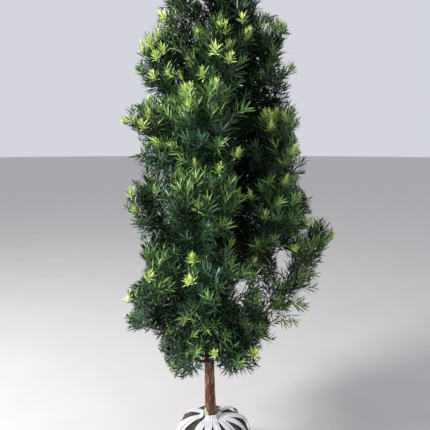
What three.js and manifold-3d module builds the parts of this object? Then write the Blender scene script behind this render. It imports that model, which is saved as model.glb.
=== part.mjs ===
// A young buddhist pine, a broadleaf conifer with long flat leaves, dug up with its root ball.
// The ball is wrapped in strips that are gathered round the foot of the trunk.
// Millimetres, +Z up, +X to the right of the crown's front, -Y to the front.
// The origin is the centre of the ball's flat underside.
import * as THREE from "three";
import { mergeVertices } from "three/addons/utils/BufferGeometryUtils.js";
import Module from "manifold-3d";

const wasm = await Module();
wasm.setup();

// Clearances
const GAP = 0.35;
const CELL_GAP = 3;
const LIMB_GAP = 3;
const SNAP = 1e-3;

// Root ball
const BALL_HEIGHT = 300;
const BALL_RADIUS = 188;
const BALL_MIDDLE = 130;
const BALL_HALF_HEIGHT = 175;
const BALL_SQUARENESS = 2.8;
const BALL_LOPSIDE = 0.04;
const BALL_LUMP = 0.02;
const BALL_RINGS = 8;
const BALL_SIDES = 26;

// Wrapping strips, each with its direction and its width over the shoulder of the ball
const STRIPS = [
  { turn: 8, width: 34 },
  { turn: 44, width: 26 },
  { turn: 92, width: 40 },
  { turn: 144, width: 30 },
  { turn: 192, width: 92 },
  { turn: 238, width: 26 },
  { turn: 263, width: 22 },
  { turn: 288, width: 24 },
  { turn: 318, width: 48 },
  { turn: 344, width: 20 },
];
const STRIP_THICKNESS = 2.4;
const STRIP_NECK_WIDTH = 17;
const STRIP_NECK_RADIUS = 41;
const STRIP_FOOT = 8;
const TIE_WIDTH = 9;
const TIE_HEIGHT = 12;

// Trunk
const TRUNK_HEIGHT = 1760;
const TRUNK_FOOT_RADIUS = 27;
const TRUNK_TIP_RADIUS = 6;
const TRUNK_TAPER = 0.9;
const FLARE = 7;
const FLARE_FADE = 30;
const LEAN = 50;
const SWAY = 18;
const TRUNK_SIDES = 10;
const TRUNK_STEPS = 16;

// Boughs, tier by tier. A tier leaves the trunk at `from` above the ball and its foliage is `plump` thick.
// Each bough has its direction, 0 to the right and 90 to the back, with the reach and height of its tip.
const TIERS = [
  {
    name: "skirt", from: 300, plump: 150, bough: true,
    tips: [
      { turn: -116, reach: 285, height: 520 },
      { turn: -62, reach: 290, height: 440 },
      { turn: 178, reach: 415, height: 525 },
      { turn: 95, reach: 360, height: 480 },
      { turn: 38, reach: 330, height: 470 },
    ],
  },
  {
    name: "arm", from: 330, plump: 105, bough: true,
    tips: [{ turn: -8, reach: 495, height: 1030 }],
  },
  {
    name: "low", from: 500, plump: 180, bough: true,
    tips: [
      { turn: -84, reach: 375, height: 880 },
      { turn: -142, reach: 420, height: 820 },
      { turn: 172, reach: 400, height: 840 },
      { turn: 112, reach: 400, height: 830 },
      { turn: 48, reach: 390, height: 860 },
    ],
  },
  {
    name: "middle", from: 760, plump: 185, bough: true,
    tips: [
      { turn: -100, reach: 390, height: 1230 },
      { turn: -34, reach: 370, height: 1105 },
      { turn: 187, reach: 420, height: 1120 },
      { turn: 92, reach: 400, height: 1150 },
      { turn: 18, reach: 400, height: 1130 },
    ],
  },
  {
    name: "upper", from: 1040, plump: 185, bough: false,
    tips: [
      { turn: -98, reach: 370, height: 1520 },
      { turn: -28, reach: 345, height: 1400 },
      { turn: 182, reach: 385, height: 1480 },
      { turn: 108, reach: 390, height: 1480 },
      { turn: 40, reach: 400, height: 1500 },
    ],
  },
  {
    name: "high", from: 1330, plump: 165, bough: false,
    tips: [
      { turn: -92, reach: 290, height: 1760 },
      { turn: 176, reach: 305, height: 1790 },
      { turn: 86, reach: 290, height: 1800 },
      { turn: -5, reach: 255, height: 1820 },
    ],
  },
  {
    name: "top", from: 1540, plump: 125, bough: false,
    tips: [
      { turn: 186, reach: 220, height: 1985 },
      { turn: 60, reach: 165, height: 1990 },
      { turn: -48, reach: 165, height: 1950 },
    ],
  },
];
const LEADER_HEIGHT = 2070;
const LEADER_PLUMP = 105;

// How a bough bends: it sets off outwards and turns up, and its foliage starts part of the way along.
const STAGGER = 26;
const BEND_OUT = 0.62;
const BEND_UP = 0.24;
const BOUGH_SHARE = 0.4;
const STEM_SHARE = 0.93;
const BOUGH_RADIUS = 10.5;
const BOUGH_TIP_RADIUS = 6.5;
const STEM_TIP_RADIUS = 3.2;
const BOUGH_SIDES = 5;
const STEM_SIDES = 4;

// Inside of a mass, and the twigs and leaves that stand out of it
const CORE_MIDDLE = 0.5;
const CORE_SHARE = 0.36;
const CORE_LEAST = 14;
const CORE_LEAVES = 64;
const CORE_LEAVES_KEPT = 13;
const CORE_LEAF_DEPTH = 0.74;
const CORE_LEAF_STRIDE = 27;
const CORE_LEAF_LIFT = 0.25;
const CORE_LEAF_SPREAD = 0.2;
const TWIGS = 2;
const TWIG_FROM = 0.3;
const TWIG_TILT_LOW = 70;
const TWIG_TILT_HIGH = 40;
const TWIG_RADIUS = 6;
const TWIG_REACH = 0.86;
const LEAVES = 3;
const LEAF_STEP = 12;
const LEAF_TILT_TIP = 10;
const LEAF_TILT = 52;
const LEAF_LENGTH = 138;
const LEAF_SHORTEST = 70;
const LEAF_LONGEST = 190;
const LEAF_WIDTH = 42;
const LEAF_THICKNESS = 3;
const LEAF_WAIST = 0.46;
const LEAF_SUNK = 10;
const LEAF_REACH = 1.3;
const GOLDEN_TURN = 137.508;

const UP = new THREE.Vector3(0, 0, 1);
const SIDE_NAMES = ["right", "back_right", "back", "back_left", "left", "front_left", "front", "front_right"];

const { degToRad, lerp } = THREE.MathUtils;

const bark = new THREE.MeshStandardMaterial({ color: 0x7a4a35, roughness: 0.85 });
const foliage = new THREE.MeshStandardMaterial({ color: 0x2c5a26, roughness: 0.5 });
const soil = new THREE.MeshStandardMaterial({ color: 0x4a4038, roughness: 0.95 });
const wrapping = new THREE.MeshStandardMaterial({ color: 0xe8e8e4, roughness: 0.6 });

// A seeded source of numbers from 0 to 1.
function randomFrom(seed) {
  let state = (seed * 2654435761 + 12345) >>> 0;
  return () => {
    state = (Math.imul(state, 1664525) + 1013904223) >>> 0;
    return state / 4294967296;
  };
}

// The solid of a closed geometry.
function solidOf(geometry) {
  geometry.deleteAttribute("normal");
  geometry.deleteAttribute("uv");
  const merged = mergeVertices(geometry, 1e-3);
  const mesh = new wasm.Mesh({
    numProp: 3,
    vertProperties: merged.attributes.position.array,
    triVerts: new Uint32Array(merged.index.array),
  });
  return new wasm.Manifold(mesh);
}

// The geometry of a solid.
function geometryOf(solid) {
  const mesh = solid.getMesh();
  const geometry = new THREE.BufferGeometry();
  geometry.setAttribute("position", new THREE.BufferAttribute(mesh.vertProperties, 3));
  geometry.setIndex(new THREE.BufferAttribute(mesh.triVerts, 1));
  return geometry;
}

// The largest body of a solid, without loose scraps and with its sealed hollows filled.
function largestBody(solid) {
  return solid.decompose().sort((one, two) => two.volume() - one.volume())[0];
}

// The geometry of a solid with its corners on a fine grid, without the faces that shrink to a line there.
function snapped(solid) {
  const fine = reshape(geometryOf(solid), (corner) => corner.divideScalar(SNAP).round().multiplyScalar(SNAP));
  const merged = mergeVertices(fine, SNAP);
  const corners = [];
  for (let i = 0; i < merged.index.count; i += 3) {
    const face = [0, 1, 2].map((step) => merged.index.getX(i + step));
    if (new Set(face).size === 3) corners.push(...face);
  }
  return merged.setIndex(corners);
}

// A corner of a geometry where more than two faces meet along an edge, if there is one.
function foldIn(geometry) {
  const { array } = geometry.index;
  const uses = new Map();
  for (let i = 0; i < array.length; i += 1) {
    const next = i % 3 === 2 ? i - 2 : i + 1;
    const edge = [array[i], array[next]].sort((one, two) => one - two).join();
    uses.set(edge, (uses.get(edge) ?? 0) + 1);
  }
  const fold = [...uses].find(([, count]) => count !== 2);
  if (!fold) return null;
  return new THREE.Vector3().fromBufferAttribute(geometry.getAttribute("position"), parseInt(fold[0], 10));
}

// A named piece from a solid.
function pieceOf(solid, name, material) {
  const geometry = geometryOf(solid);
  geometry.computeVertexNormals();
  const piece = new THREE.Mesh(geometry, material);
  piece.name = name;
  return piece;
}

// Moves each corner of a geometry to where `place` puts it.
function reshape(geometry, place) {
  const position = geometry.getAttribute("position");
  const corner = new THREE.Vector3();
  for (let i = 0; i < position.count; i += 1) {
    place(corner.fromBufferAttribute(position, i));
    position.setXYZ(i, corner.x, corner.y, corner.z);
  }
  return geometry;
}

// A direction in the ground plane, from its turn in degrees.
function heading(turn) {
  return new THREE.Vector3(Math.cos(degToRad(turn)), Math.sin(degToRad(turn)), 0);
}

// A limb from share `from` to share `to` of a curve: a cylinder bent along it, with its sides set by `across`.
function limb(curve, from, to, radiusAt, across, sides, steps) {
  const cylinder = new THREE.CylinderGeometry(1, 1, 1, sides, steps);
  return reshape(cylinder, (corner) => {
    const share = lerp(from, to, corner.y + 0.5);
    const tangent = curve.getTangent(share);
    const first = across.clone().addScaledVector(tangent, -across.dot(tangent)).normalize();
    const second = first.clone().cross(tangent);
    const radius = radiusAt(share);
    const { x, z } = corner;
    corner.copy(curve.getPoint(share)).addScaledVector(first, x * radius).addScaledVector(second, z * radius);
  });
}

// Root ball: a squarish dome, lopsided and a little lumpy, with a flat top and a flat underside.
function ballRadius(turn, height) {
  const rise = Math.abs((height - BALL_MIDDLE) / BALL_HALF_HEIGHT) ** BALL_SQUARENESS;
  const round = BALL_RADIUS * (1 - rise) ** (1 / BALL_SQUARENESS);
  const lumps = BALL_LOPSIDE * Math.cos(turn) + BALL_LUMP * Math.sin(3 * turn + 1) + BALL_LUMP * Math.sin(5 * turn);
  return round * (1 + lumps);
}

// The heights of the ball's rings, closer together near its top and its underside.
function ballHeight(ring) {
  return (BALL_HEIGHT * (1 - Math.cos((Math.PI * ring) / BALL_RINGS))) / 2;
}

function rootBall() {
  const outline = [new THREE.Vector2(0, 0)];
  for (let ring = 0; ring <= BALL_RINGS; ring += 1) outline.push(new THREE.Vector2(1, ballHeight(ring)));
  outline.push(new THREE.Vector2(0, BALL_HEIGHT));
  const lathe = new THREE.LatheGeometry(outline, BALL_SIDES).rotateX(Math.PI / 2);
  return reshape(lathe, (corner) => {
    const turn = Math.atan2(corner.y, corner.x);
    const radius = Math.hypot(corner.x, corner.y) * ballRadius(turn, corner.z);
    corner.set(Math.cos(turn) * radius, Math.sin(turn) * radius, corner.z);
  });
}

// A strip lies on the flat top, over the shoulder and down the side: a thin box bent over the ball.
function strip({ turn, width }) {
  const middle = degToRad(turn);
  const widthSteps = Math.ceil(width / 40);
  const lengthSteps = BALL_RINGS + 1;
  const box = new THREE.BoxGeometry(1, 1, 1, widthSteps, lengthSteps, 1);
  return reshape(box, (corner) => {
    const station = Math.round((corner.y + 0.5) * lengthSteps);
    const onTop = station === 0;
    const height = onTop ? BALL_HEIGHT : Math.max(ballHeight(BALL_RINGS + 1 - station), STRIP_FOOT);
    const surface = onTop ? STRIP_NECK_RADIUS : ballRadius(middle, height);
    const breadth = onTop ? STRIP_NECK_WIDTH : lerp(STRIP_NECK_WIDTH, width, Math.min(1, station / 3));
    const angle = middle - (corner.x * breadth) / surface;
    const radius = onTop ? STRIP_NECK_RADIUS : ballRadius(angle, height);
    const sagitta = (breadth / widthSteps) ** 2 / (8 * radius);
    const lift = GAP + sagitta + 0.1 + (corner.z + 0.5) * STRIP_THICKNESS;
    const slope = onTop ? 1 : Math.max(0, (height - BALL_MIDDLE) / (BALL_HEIGHT - BALL_MIDDLE)) ** 2;
    const out = radius + lift * Math.sqrt(1 - slope ** 2);
    corner.set(Math.cos(angle) * out, Math.sin(angle) * out, height + lift * slope);
  });
}

// Trunk line and radius, for a share of its height
class TrunkLine extends THREE.Curve {
  getPoint(share, target = new THREE.Vector3()) {
    const aside = LEAN * share - SWAY * Math.sin(2 * Math.PI * share);
    const away = -0.6 * SWAY * Math.sin(Math.PI * share);
    return target.set(aside, away, BALL_HEIGHT + GAP + share * TRUNK_HEIGHT);
  }
  getTangent(share) {
    const step = 1e-3;
    const ahead = this.getPoint(share + step);
    return ahead.sub(this.getPoint(share - step)).normalize();
  }
}
const trunkLine = new TrunkLine();

function trunkRadius(share) {
  const taper = lerp(TRUNK_TIP_RADIUS, TRUNK_FOOT_RADIUS, (1 - Math.min(share, 1)) ** TRUNK_TAPER);
  return taper + FLARE * Math.exp((-share * TRUNK_HEIGHT) / FLARE_FADE);
}

// The trunk, grown by `extra` all round where it serves to cut its neighbours.
// Its rings crowd towards the foot, where it flares.
function trunk(extra) {
  const crowd = 1.6;
  const line = {
    getPoint: (share) => trunkLine.getPoint(share ** crowd),
    getTangent: (share) => (share === 0 ? UP.clone() : trunkLine.getTangent(share ** crowd)),
  };
  const radius = (share) => trunkRadius(share ** crowd) + extra;
  return limb(line, 0, 1, radius, new THREE.Vector3(1, 0, 0), TRUNK_SIDES, TRUNK_STEPS);
}

// The plan of each mass: its path from the trunk to its tip, and the space that it keeps to.
function planMass(tier, tip, seed) {
  const outward = heading(tip.turn);
  const stagger = (2 * tier.tips.indexOf(tip)) % tier.tips.length;
  const start = trunkLine.getPoint((tier.from + STAGGER * stagger) / TRUNK_HEIGHT);
  const end = outward.clone().multiplyScalar(tip.reach).setZ(BALL_HEIGHT + tip.height);
  end.x += trunkLine.getPoint(Math.min(1, tip.height / TRUNK_HEIGHT)).x;
  const bend = start.clone().addScaledVector(outward, tip.reach * BEND_OUT);
  bend.z += (end.z - start.z) * BEND_UP;
  const side = SIDE_NAMES[((Math.round(tip.turn / 45) % 8) + 8) % 8];
  return spaceOf({
    name: `${tier.name}_${side}`,
    seed,
    bough: tier.bough,
    path: new THREE.QuadraticBezierCurve3(start, bend, end),
    across: heading(tip.turn + 90),
    plump: tier.plump,
    leafFrom: BOUGH_SHARE,
    stemFrom: tier.bough ? BOUGH_SHARE : 0,
  });
}

// The space is an egg along the foliage's part of the path.
function spaceOf(mass) {
  const low = mass.path.getPoint(mass.leafFrom);
  const high = mass.path.getPoint(1);
  mass.axis = high.clone().sub(low).normalize();
  mass.centre = low.clone().lerp(high, 0.5);
  mass.long = low.distanceTo(high) / 2;
  return mass;
}

function planLeader(seed) {
  const start = trunkLine.getPoint(1);
  const end = start.clone().setZ(BALL_HEIGHT + LEADER_HEIGHT);
  return spaceOf({
    name: "leader",
    seed,
    bough: false,
    path: new THREE.LineCurve3(start.setZ(start.z + GAP), end),
    across: new THREE.Vector3(1, 0, 0),
    plump: LEADER_PLUMP,
    leafFrom: 0,
    stemFrom: 0,
  });
}

const masses = TIERS.flatMap((tier) => tier.tips.map((tip) => [tier, tip])).map(([tier, tip], i) =>
  planMass(tier, tip, i + 1),
);
masses.push(planLeader(masses.length + 1));

// How far a point lies inside a mass's space: under 1 inside its egg, and on its own side of each neighbour.
function inEgg(mass, point, share = 1) {
  const offset = point.clone().sub(mass.centre);
  const along = offset.dot(mass.axis);
  const aside = Math.sqrt(Math.max(0, offset.lengthSq() - along * along));
  return Math.hypot(along / (mass.long * 1.12), aside / mass.plump) <= share;
}

function inCell(mass, point) {
  return masses.every((other) => {
    if (other === mass) return true;
    const apart = other.centre.clone().sub(mass.centre);
    const spread = apart.length();
    const border = spread / 2 + (mass.plump ** 2 - other.plump ** 2) / (2 * spread);
    return point.clone().sub(mass.centre).dot(apart) / spread <= border - CELL_GAP;
  });
}

// How far a straight line from a point stays in the space, to the nearest few millimetres.
function roomAlong(mass, point, direction) {
  const step = 4;
  let far = 0;
  const probe = point.clone();
  while (far < 600) {
    probe.addScaledVector(direction, step);
    if (!inEgg(mass, probe) || !inCell(mass, probe)) return far;
    far += step;
  }
  return far;
}

// Every limb as short straight stretches, with who owns it.
const stretches = [];
function addStretches(owner, line, from, to, radiusAt) {
  const parts = 10;
  for (let i = 0; i < parts; i += 1) {
    const start = lerp(from, to, i / parts);
    const end = lerp(from, to, (i + 1) / parts);
    const radius = Math.max(radiusAt(start), radiusAt(end));
    stretches.push({ owner, radius, line: new THREE.Line3(line.getPoint(start), line.getPoint(end)) });
  }
}

function boughRadius(share) {
  return lerp(BOUGH_RADIUS, BOUGH_TIP_RADIUS, share / BOUGH_SHARE);
}

function stemRadius(share) {
  return lerp(BOUGH_TIP_RADIUS, STEM_TIP_RADIUS, Math.max(0, share - BOUGH_SHARE) / (1 - BOUGH_SHARE));
}

addStretches("trunk", trunkLine, 0, 1, trunkRadius);
masses.forEach((mass) => {
  if (mass.bough) addStretches("bough", mass.path, 0, BOUGH_SHARE, boughRadius);
  addStretches(mass.name, mass.path, mass.stemFrom, STEM_SHARE, stemRadius);
});

// Whether a straight piece keeps clear of every limb but the mass's own stem.
function clearOfLimbs(mass, start, end, radius) {
  const samples = Math.ceil(start.distanceTo(end) / 8);
  const point = new THREE.Vector3();
  const nearest = new THREE.Vector3();
  for (let i = 0; i <= samples; i += 1) {
    point.lerpVectors(start, end, i / samples);
    for (const { owner, radius: limbRadius, line } of stretches) {
      if (owner === mass.name) continue;
      line.closestPointToPoint(point, true, nearest);
      if (nearest.distanceTo(point) < limbRadius + radius + LIMB_GAP) return false;
    }
  }
  return true;
}

// A direction that leans from `axis` by `tilt` degrees, turned round it by `turn` degrees.
function leaning(axis, tilt, turn) {
  const first = new THREE.Vector3().crossVectors(axis, Math.abs(axis.z) < 0.9 ? UP : new THREE.Vector3(1, 0, 0));
  first.normalize();
  const second = new THREE.Vector3().crossVectors(axis, first);
  const aside = first.multiplyScalar(Math.cos(degToRad(turn))).addScaledVector(second, Math.sin(degToRad(turn)));
  return axis.clone().multiplyScalar(Math.cos(degToRad(tilt))).addScaledVector(aside, Math.sin(degToRad(tilt)));
}

// A leaf's blade: an octahedron drawn out, widest below its middle, with its flat side turned to the twig's tip.
function blade(root, direction, twigDirection, length) {
  const flat = new THREE.Vector3().crossVectors(direction, twigDirection).normalize();
  const normal = new THREE.Vector3().crossVectors(flat, direction);
  const start = root.clone().addScaledVector(direction, -LEAF_SUNK);
  return reshape(new THREE.OctahedronGeometry(1, 0), (corner) => {
    const along = corner.y < -0.5 ? 0 : corner.y > 0.5 ? length : length * LEAF_WAIST;
    const { x, z } = corner;
    corner.copy(start).addScaledVector(direction, along);
    corner.addScaledVector(flat, (x * LEAF_WIDTH) / 2).addScaledVector(normal, (z * LEAF_THICKNESS) / 2);
  });
}

// The twigs of a mass leave its stem a golden turn apart, the last one straight on from its tip.
function twigsOf(mass) {
  const random = randomFrom(mass.seed);
  const phase = 360 * random();
  const twigs = [];
  for (let i = 0; i < TWIGS; i += 1) {
    const rank = i / (TWIGS - 1);
    const share = lerp(lerp(mass.leafFrom, 1, TWIG_FROM), STEM_SHARE - 0.03, rank);
    const start = mass.path.getPoint(share);
    const tilt = rank === 1 ? 0 : lerp(TWIG_TILT_LOW, TWIG_TILT_HIGH, rank) + 10 * (random() - 0.5);
    const direction = leaning(mass.path.getTangent(share), tilt, phase + i * GOLDEN_TURN);
    const length = roomAlong(mass, start, direction) * TWIG_REACH;
    twigs.push({ start, direction, length, seed: mass.seed * 100 + i });
  }
  return twigs;
}

// A twig: a slim three-sided cone.
function twigSolid(twig) {
  const first = new THREE.Vector3(0.3, 0.5, 0.81).cross(twig.direction).normalize();
  const second = first.clone().cross(twig.direction);
  const cone = reshape(new THREE.ConeGeometry(TWIG_RADIUS, twig.length, 3), (corner) => {
    const { x, y, z } = corner;
    corner.copy(twig.start).addScaledVector(twig.direction, y + twig.length / 2);
    corner.addScaledVector(first, x).addScaledVector(second, z);
  });
  return solidOf(cone);
}

// A leaf, if it keeps to the mass's space and clear of the limbs.
function leafOf(mass, root, direction, facing, length) {
  const tip = root.clone().addScaledVector(direction, length - LEAF_SUNK);
  const waist = root.clone().addScaledVector(direction, length * LEAF_WAIST);
  const fits = [tip, waist].every((point) => inCell(mass, point) && inEgg(mass, point, LEAF_REACH));
  if (!fits || !clearOfLimbs(mass, root, tip, LEAF_WIDTH / 2)) return [];
  return [{ line: new THREE.Line3(root, tip), solid: solidOf(blade(root, direction, facing, length)) }];
}

// The leaves round the end of a twig, with one straight ahead.
function leavesOf(mass, twig) {
  const random = randomFrom(twig.seed);
  const phase = 360 * random();
  const end = twig.start.clone().addScaledVector(twig.direction, twig.length);
  return Array.from({ length: LEAVES }).flatMap((_, i) => {
    const root = end.clone().addScaledVector(twig.direction, -i * LEAF_STEP);
    const tilt = i === 0 ? LEAF_TILT_TIP : LEAF_TILT;
    const direction = leaning(twig.direction, tilt, phase + (i * 360) / (LEAVES - 1) + 30 * random());
    return leafOf(mass, root, direction, twig.direction, LEAF_LENGTH * (0.75 + 0.25 * random()));
  });
}

// The dense inside of a mass: a rough ball that keeps clear of the limbs.
function coreOf(mass, cutter) {
  const middle = mass.path.getPoint(lerp(mass.leafFrom, 1, CORE_MIDDLE));
  const ball = reshape(new THREE.DodecahedronGeometry(1, 0), (corner) => {
    const direction = corner.clone().normalize();
    const reach = Math.max(CORE_LEAST, roomAlong(mass, middle, direction) * CORE_SHARE);
    corner.copy(middle).addScaledVector(direction, reach);
  });
  return largestBody(solidOf(ball).subtract(cutter));
}

// Leaves stand out of the dense inside, even on all sides, as far as the mass has room.
function coreLeavesOf(mass) {
  const random = randomFrom(mass.seed * 100 + 99);
  const middle = mass.path.getPoint(lerp(mass.leafFrom, 1, CORE_MIDDLE));
  const leaves = [];
  for (let i = 0; i < CORE_LEAVES; i += 1) {
    const order = (i * CORE_LEAF_STRIDE) % CORE_LEAVES;
    const height = 1 - (2 * order + 1) / CORE_LEAVES;
    const outward = heading(order * GOLDEN_TURN + mass.seed * 40).multiplyScalar(Math.sqrt(1 - height ** 2));
    outward.setZ(height);
    const room = roomAlong(mass, middle, outward);
    const depth = Math.max(CORE_LEAST, room * CORE_SHARE) * CORE_LEAF_DEPTH;
    const root = middle.clone().addScaledVector(outward, depth);
    const direction = outward.clone().addScaledVector(UP, CORE_LEAF_LIFT);
    direction.add(heading(360 * random()).multiplyScalar(CORE_LEAF_SPREAD)).normalize();
    const length = Math.max(LEAF_SHORTEST, (room - depth) * (1 + 0.25 * random()) + LEAF_SUNK);
    leaves.push(...leafOf(mass, root, direction, outward, Math.min(length, LEAF_LONGEST)));
  }
  return leaves.slice(0, CORE_LEAVES_KEPT);
}

const group = new THREE.Group();

group.add(pieceOf(solidOf(rootBall()), "root_ball", soil));
STRIPS.forEach((plan, i) => group.add(pieceOf(solidOf(strip(plan)), `strip_${i + 1}`, wrapping)));

const tieRadius = trunkRadius(TIE_HEIGHT / TRUNK_HEIGHT) + TIE_WIDTH / 2 + 1.8;
const tie = new THREE.TorusGeometry(tieRadius, TIE_WIDTH / 2, 5, 16);
tie.translate(0, 0, BALL_HEIGHT + STRIP_THICKNESS + TIE_WIDTH / 2 + 2.4);
group.add(pieceOf(solidOf(tie), "tie", wrapping));

group.add(pieceOf(solidOf(trunk(0)), "trunk", bark));
const trunkCutter = solidOf(trunk(GAP));

function boughSolid(mass) {
  return solidOf(limb(mass.path, 0, BOUGH_SHARE, boughRadius, mass.across, BOUGH_SIDES, 3)).subtract(trunkCutter);
}

masses.filter((mass) => mass.bough).forEach((mass) => {
  group.add(pieceOf(boughSolid(mass), `bough_${mass.name}`, bark));
});

// Where a mass's stem starts: just clear of its bough's tip, or at the trunk.
function stemSolid(mass) {
  const start = mass.bough ? mass.stemFrom + GAP / mass.path.getLength() : 0;
  const across = mass.across;
  const stem = solidOf(limb(mass.path, start, STEM_SHARE, stemRadius, across, STEM_SIDES, 2));
  return mass.name === "leader" ? stem : stem.subtract(trunkCutter);
}

function limbCutter(mass) {
  const others = masses.filter((other) => other !== mass);
  const grown = (radiusAt) => (share) => radiusAt(share) + LIMB_GAP;
  const solids = [solidOf(trunk(LIMB_GAP))];
  others.forEach((other) => {
    solids.push(solidOf(limb(other.path, other.stemFrom, STEM_SHARE, grown(stemRadius), other.across, STEM_SIDES, 2)));
  });
  masses.filter((other) => other.bough).forEach((other) => {
    solids.push(solidOf(limb(other.path, 0, BOUGH_SHARE, grown(boughRadius), other.across, BOUGH_SIDES, 3)));
  });
  return wasm.Manifold.union(solids);
}

// The whole mass as one body. Where its faces fold onto each other, the nearest leaf is left out.
function foliageSolid(mass) {
  const limbs = [stemSolid(mass), coreOf(mass, limbCutter(mass))];
  const leaves = coreLeavesOf(mass);
  twigsOf(mass).forEach((twig) => {
    const end = twig.start.clone().addScaledVector(twig.direction, twig.length);
    if (!inCell(mass, end) || !clearOfLimbs(mass, twig.start, end, TWIG_RADIUS)) return;
    limbs.push(twigSolid(twig));
    leaves.push(...leavesOf(mass, twig));
  });
  for (;;) {
    const joined = wasm.Manifold.union([...limbs, ...leaves.map((leaf) => leaf.solid)]);
    const geometry = snapped(largestBody(joined));
    const fold = foldIn(geometry);
    if (!fold) return largestBody(solidOf(geometry));
    if (leaves.length === 0) throw new Error(`${mass.name} folds without its leaves`);
    const near = (leaf) => leaf.line.closestPointToPoint(fold, true, new THREE.Vector3()).distanceTo(fold);
    leaves.sort((one, two) => near(two) - near(one)).pop();
  }
}

masses.forEach((mass) => group.add(pieceOf(foliageSolid(mass), `foliage_${mass.name}`, foliage)));

export default group;
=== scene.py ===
"""A young buddhist pine on its strapped root ball: bark, twigs, leaves, soil and wrapping strips.

Limbs and masses of foliage follow the plan of the solids. Each mass is carried on from its stem to finer
twigs, shoots and true leaves, within the same egg-shaped space. Metres throughout, +Z up, -Y to the front.
"""
import math
from dataclasses import dataclass
from functools import lru_cache

import bmesh
import bpy
import numpy as np
from bpy.props import FloatProperty, FloatVectorProperty, IntProperty, PointerProperty
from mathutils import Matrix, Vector, noise


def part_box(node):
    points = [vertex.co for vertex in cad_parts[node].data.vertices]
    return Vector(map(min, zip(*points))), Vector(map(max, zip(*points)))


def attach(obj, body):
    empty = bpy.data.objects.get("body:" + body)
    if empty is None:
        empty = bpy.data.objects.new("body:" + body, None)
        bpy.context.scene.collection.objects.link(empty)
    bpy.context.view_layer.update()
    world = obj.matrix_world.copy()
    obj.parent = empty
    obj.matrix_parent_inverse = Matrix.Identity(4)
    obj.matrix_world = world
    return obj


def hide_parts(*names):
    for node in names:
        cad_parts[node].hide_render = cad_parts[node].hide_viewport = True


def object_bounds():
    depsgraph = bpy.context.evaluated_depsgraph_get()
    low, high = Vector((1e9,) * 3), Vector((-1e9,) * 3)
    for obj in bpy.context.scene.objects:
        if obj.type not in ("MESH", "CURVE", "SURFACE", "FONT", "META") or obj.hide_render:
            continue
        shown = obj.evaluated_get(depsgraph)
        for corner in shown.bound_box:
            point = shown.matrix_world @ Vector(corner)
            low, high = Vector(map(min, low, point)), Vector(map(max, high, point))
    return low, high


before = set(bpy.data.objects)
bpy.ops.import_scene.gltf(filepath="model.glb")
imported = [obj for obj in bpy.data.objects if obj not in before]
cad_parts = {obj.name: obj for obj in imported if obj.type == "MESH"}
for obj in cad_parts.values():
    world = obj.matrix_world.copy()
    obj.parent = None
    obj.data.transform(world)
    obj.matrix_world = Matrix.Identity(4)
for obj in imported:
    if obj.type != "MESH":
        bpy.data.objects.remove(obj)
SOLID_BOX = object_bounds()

bl_info = {
    "name": "Strapped Sapling",
    "version": (1, 0, 0),
    "blender": (4, 5, 0),
    "location": "View3D > Sidebar > Sapling",
    "description": "Dresses a young buddhist pine and its root ball with bark, leaves, soil and strips",
    "category": "Add Mesh",
}

# Root ball, as in the solids
BALL_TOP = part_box("root_ball")[1][2]
BALL_RADIUS = 0.188
BALL_MIDDLE = 0.130
BALL_HALF_HEIGHT = 0.175
BALL_SQUARENESS = 2.8
BALL_LOPSIDE = 0.04
BALL_LUMP = 0.02

# Wrapping strips: direction in degrees and width over the shoulder of the ball
STRIPS = (
    (8, 0.034), (44, 0.026), (92, 0.040), (144, 0.030), (192, 0.092),
    (238, 0.026), (263, 0.022), (288, 0.024), (318, 0.048), (344, 0.020),
)
STRIP_NECK_WIDTH = 0.017
STRIP_NECK_RADIUS = 0.041
STRIP_FOOT = 0.008
# Strips that part into fingers, by the shares of their width, and how far slack ones stand off the ball
STRIP_FINGERS = {3: (0.6, 0.4), 5: (0.40, 0.24, 0.36), 9: (0.62, 0.38)}
STRIP_PUFFS = {1: 1.3, 2: 1.6, 10: 0.8, 5: 0.5}
TAUT_PUFF = 0.3
# Where along a strip it widens, its fingers part and it stands off most, the distance between its folds,
# the size of its mesh, and up to what height it follows the ball's lumps
STRIP_WIDENS = (0.10, 0.50)
STRIP_PARTS = (0.20, 0.48)
PUFF_AT = 0.36
PUFF_SPREAD = 0.14
FOLD_SPACING = 0.011
STRIP_MESH = 0.0026
STRIP_ROWS = 96
LUMPS_TO = 0.2

# Trunk
GAP = 0.00035
TRUNK_HEIGHT = 1.760
TRUNK_FOOT_RADIUS = 0.027
TRUNK_TIP_RADIUS = 0.006
TRUNK_TAPER = 0.9
FLARE = 0.007
FLARE_FADE = 0.030
LEAN = 0.050
SWAY = 0.018

# Tiers of foliage: where the tier leaves the trunk, how thick its foliage is and whether it has boughs, then
# for each tip its direction in degrees, its reach and its height above the ball
TIERS = {
    "skirt": (0.3, 0.15, True, (
        (-116, 0.285, 0.52), (-62, 0.29, 0.44), (178, 0.415, 0.525), (95, 0.36, 0.48), (38, 0.33, 0.47))),
    "arm": (0.33, 0.105, True, ((-8, 0.495, 1.03),)),
    "low": (0.5, 0.18, True, (
        (-84, 0.375, 0.88), (-142, 0.42, 0.82), (172, 0.4, 0.84), (112, 0.4, 0.83), (48, 0.39, 0.86))),
    "middle": (0.76, 0.185, True, (
        (-100, 0.39, 1.23), (-34, 0.37, 1.105), (187, 0.42, 1.12), (92, 0.4, 1.15), (18, 0.4, 1.13))),
    "upper": (1.04, 0.185, False, (
        (-98, 0.37, 1.52), (-28, 0.345, 1.4), (182, 0.385, 1.48), (108, 0.39, 1.48), (40, 0.4, 1.5))),
    "high": (1.33, 0.165, False, (
        (-92, 0.29, 1.76), (176, 0.305, 1.79), (86, 0.29, 1.8), (-5, 0.255, 1.82))),
    "top": (1.54, 0.125, False, ((186, 0.22, 1.985), (60, 0.165, 1.99), (-48, 0.165, 1.95))),
}
LEADER_HEIGHT = 2.070
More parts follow.
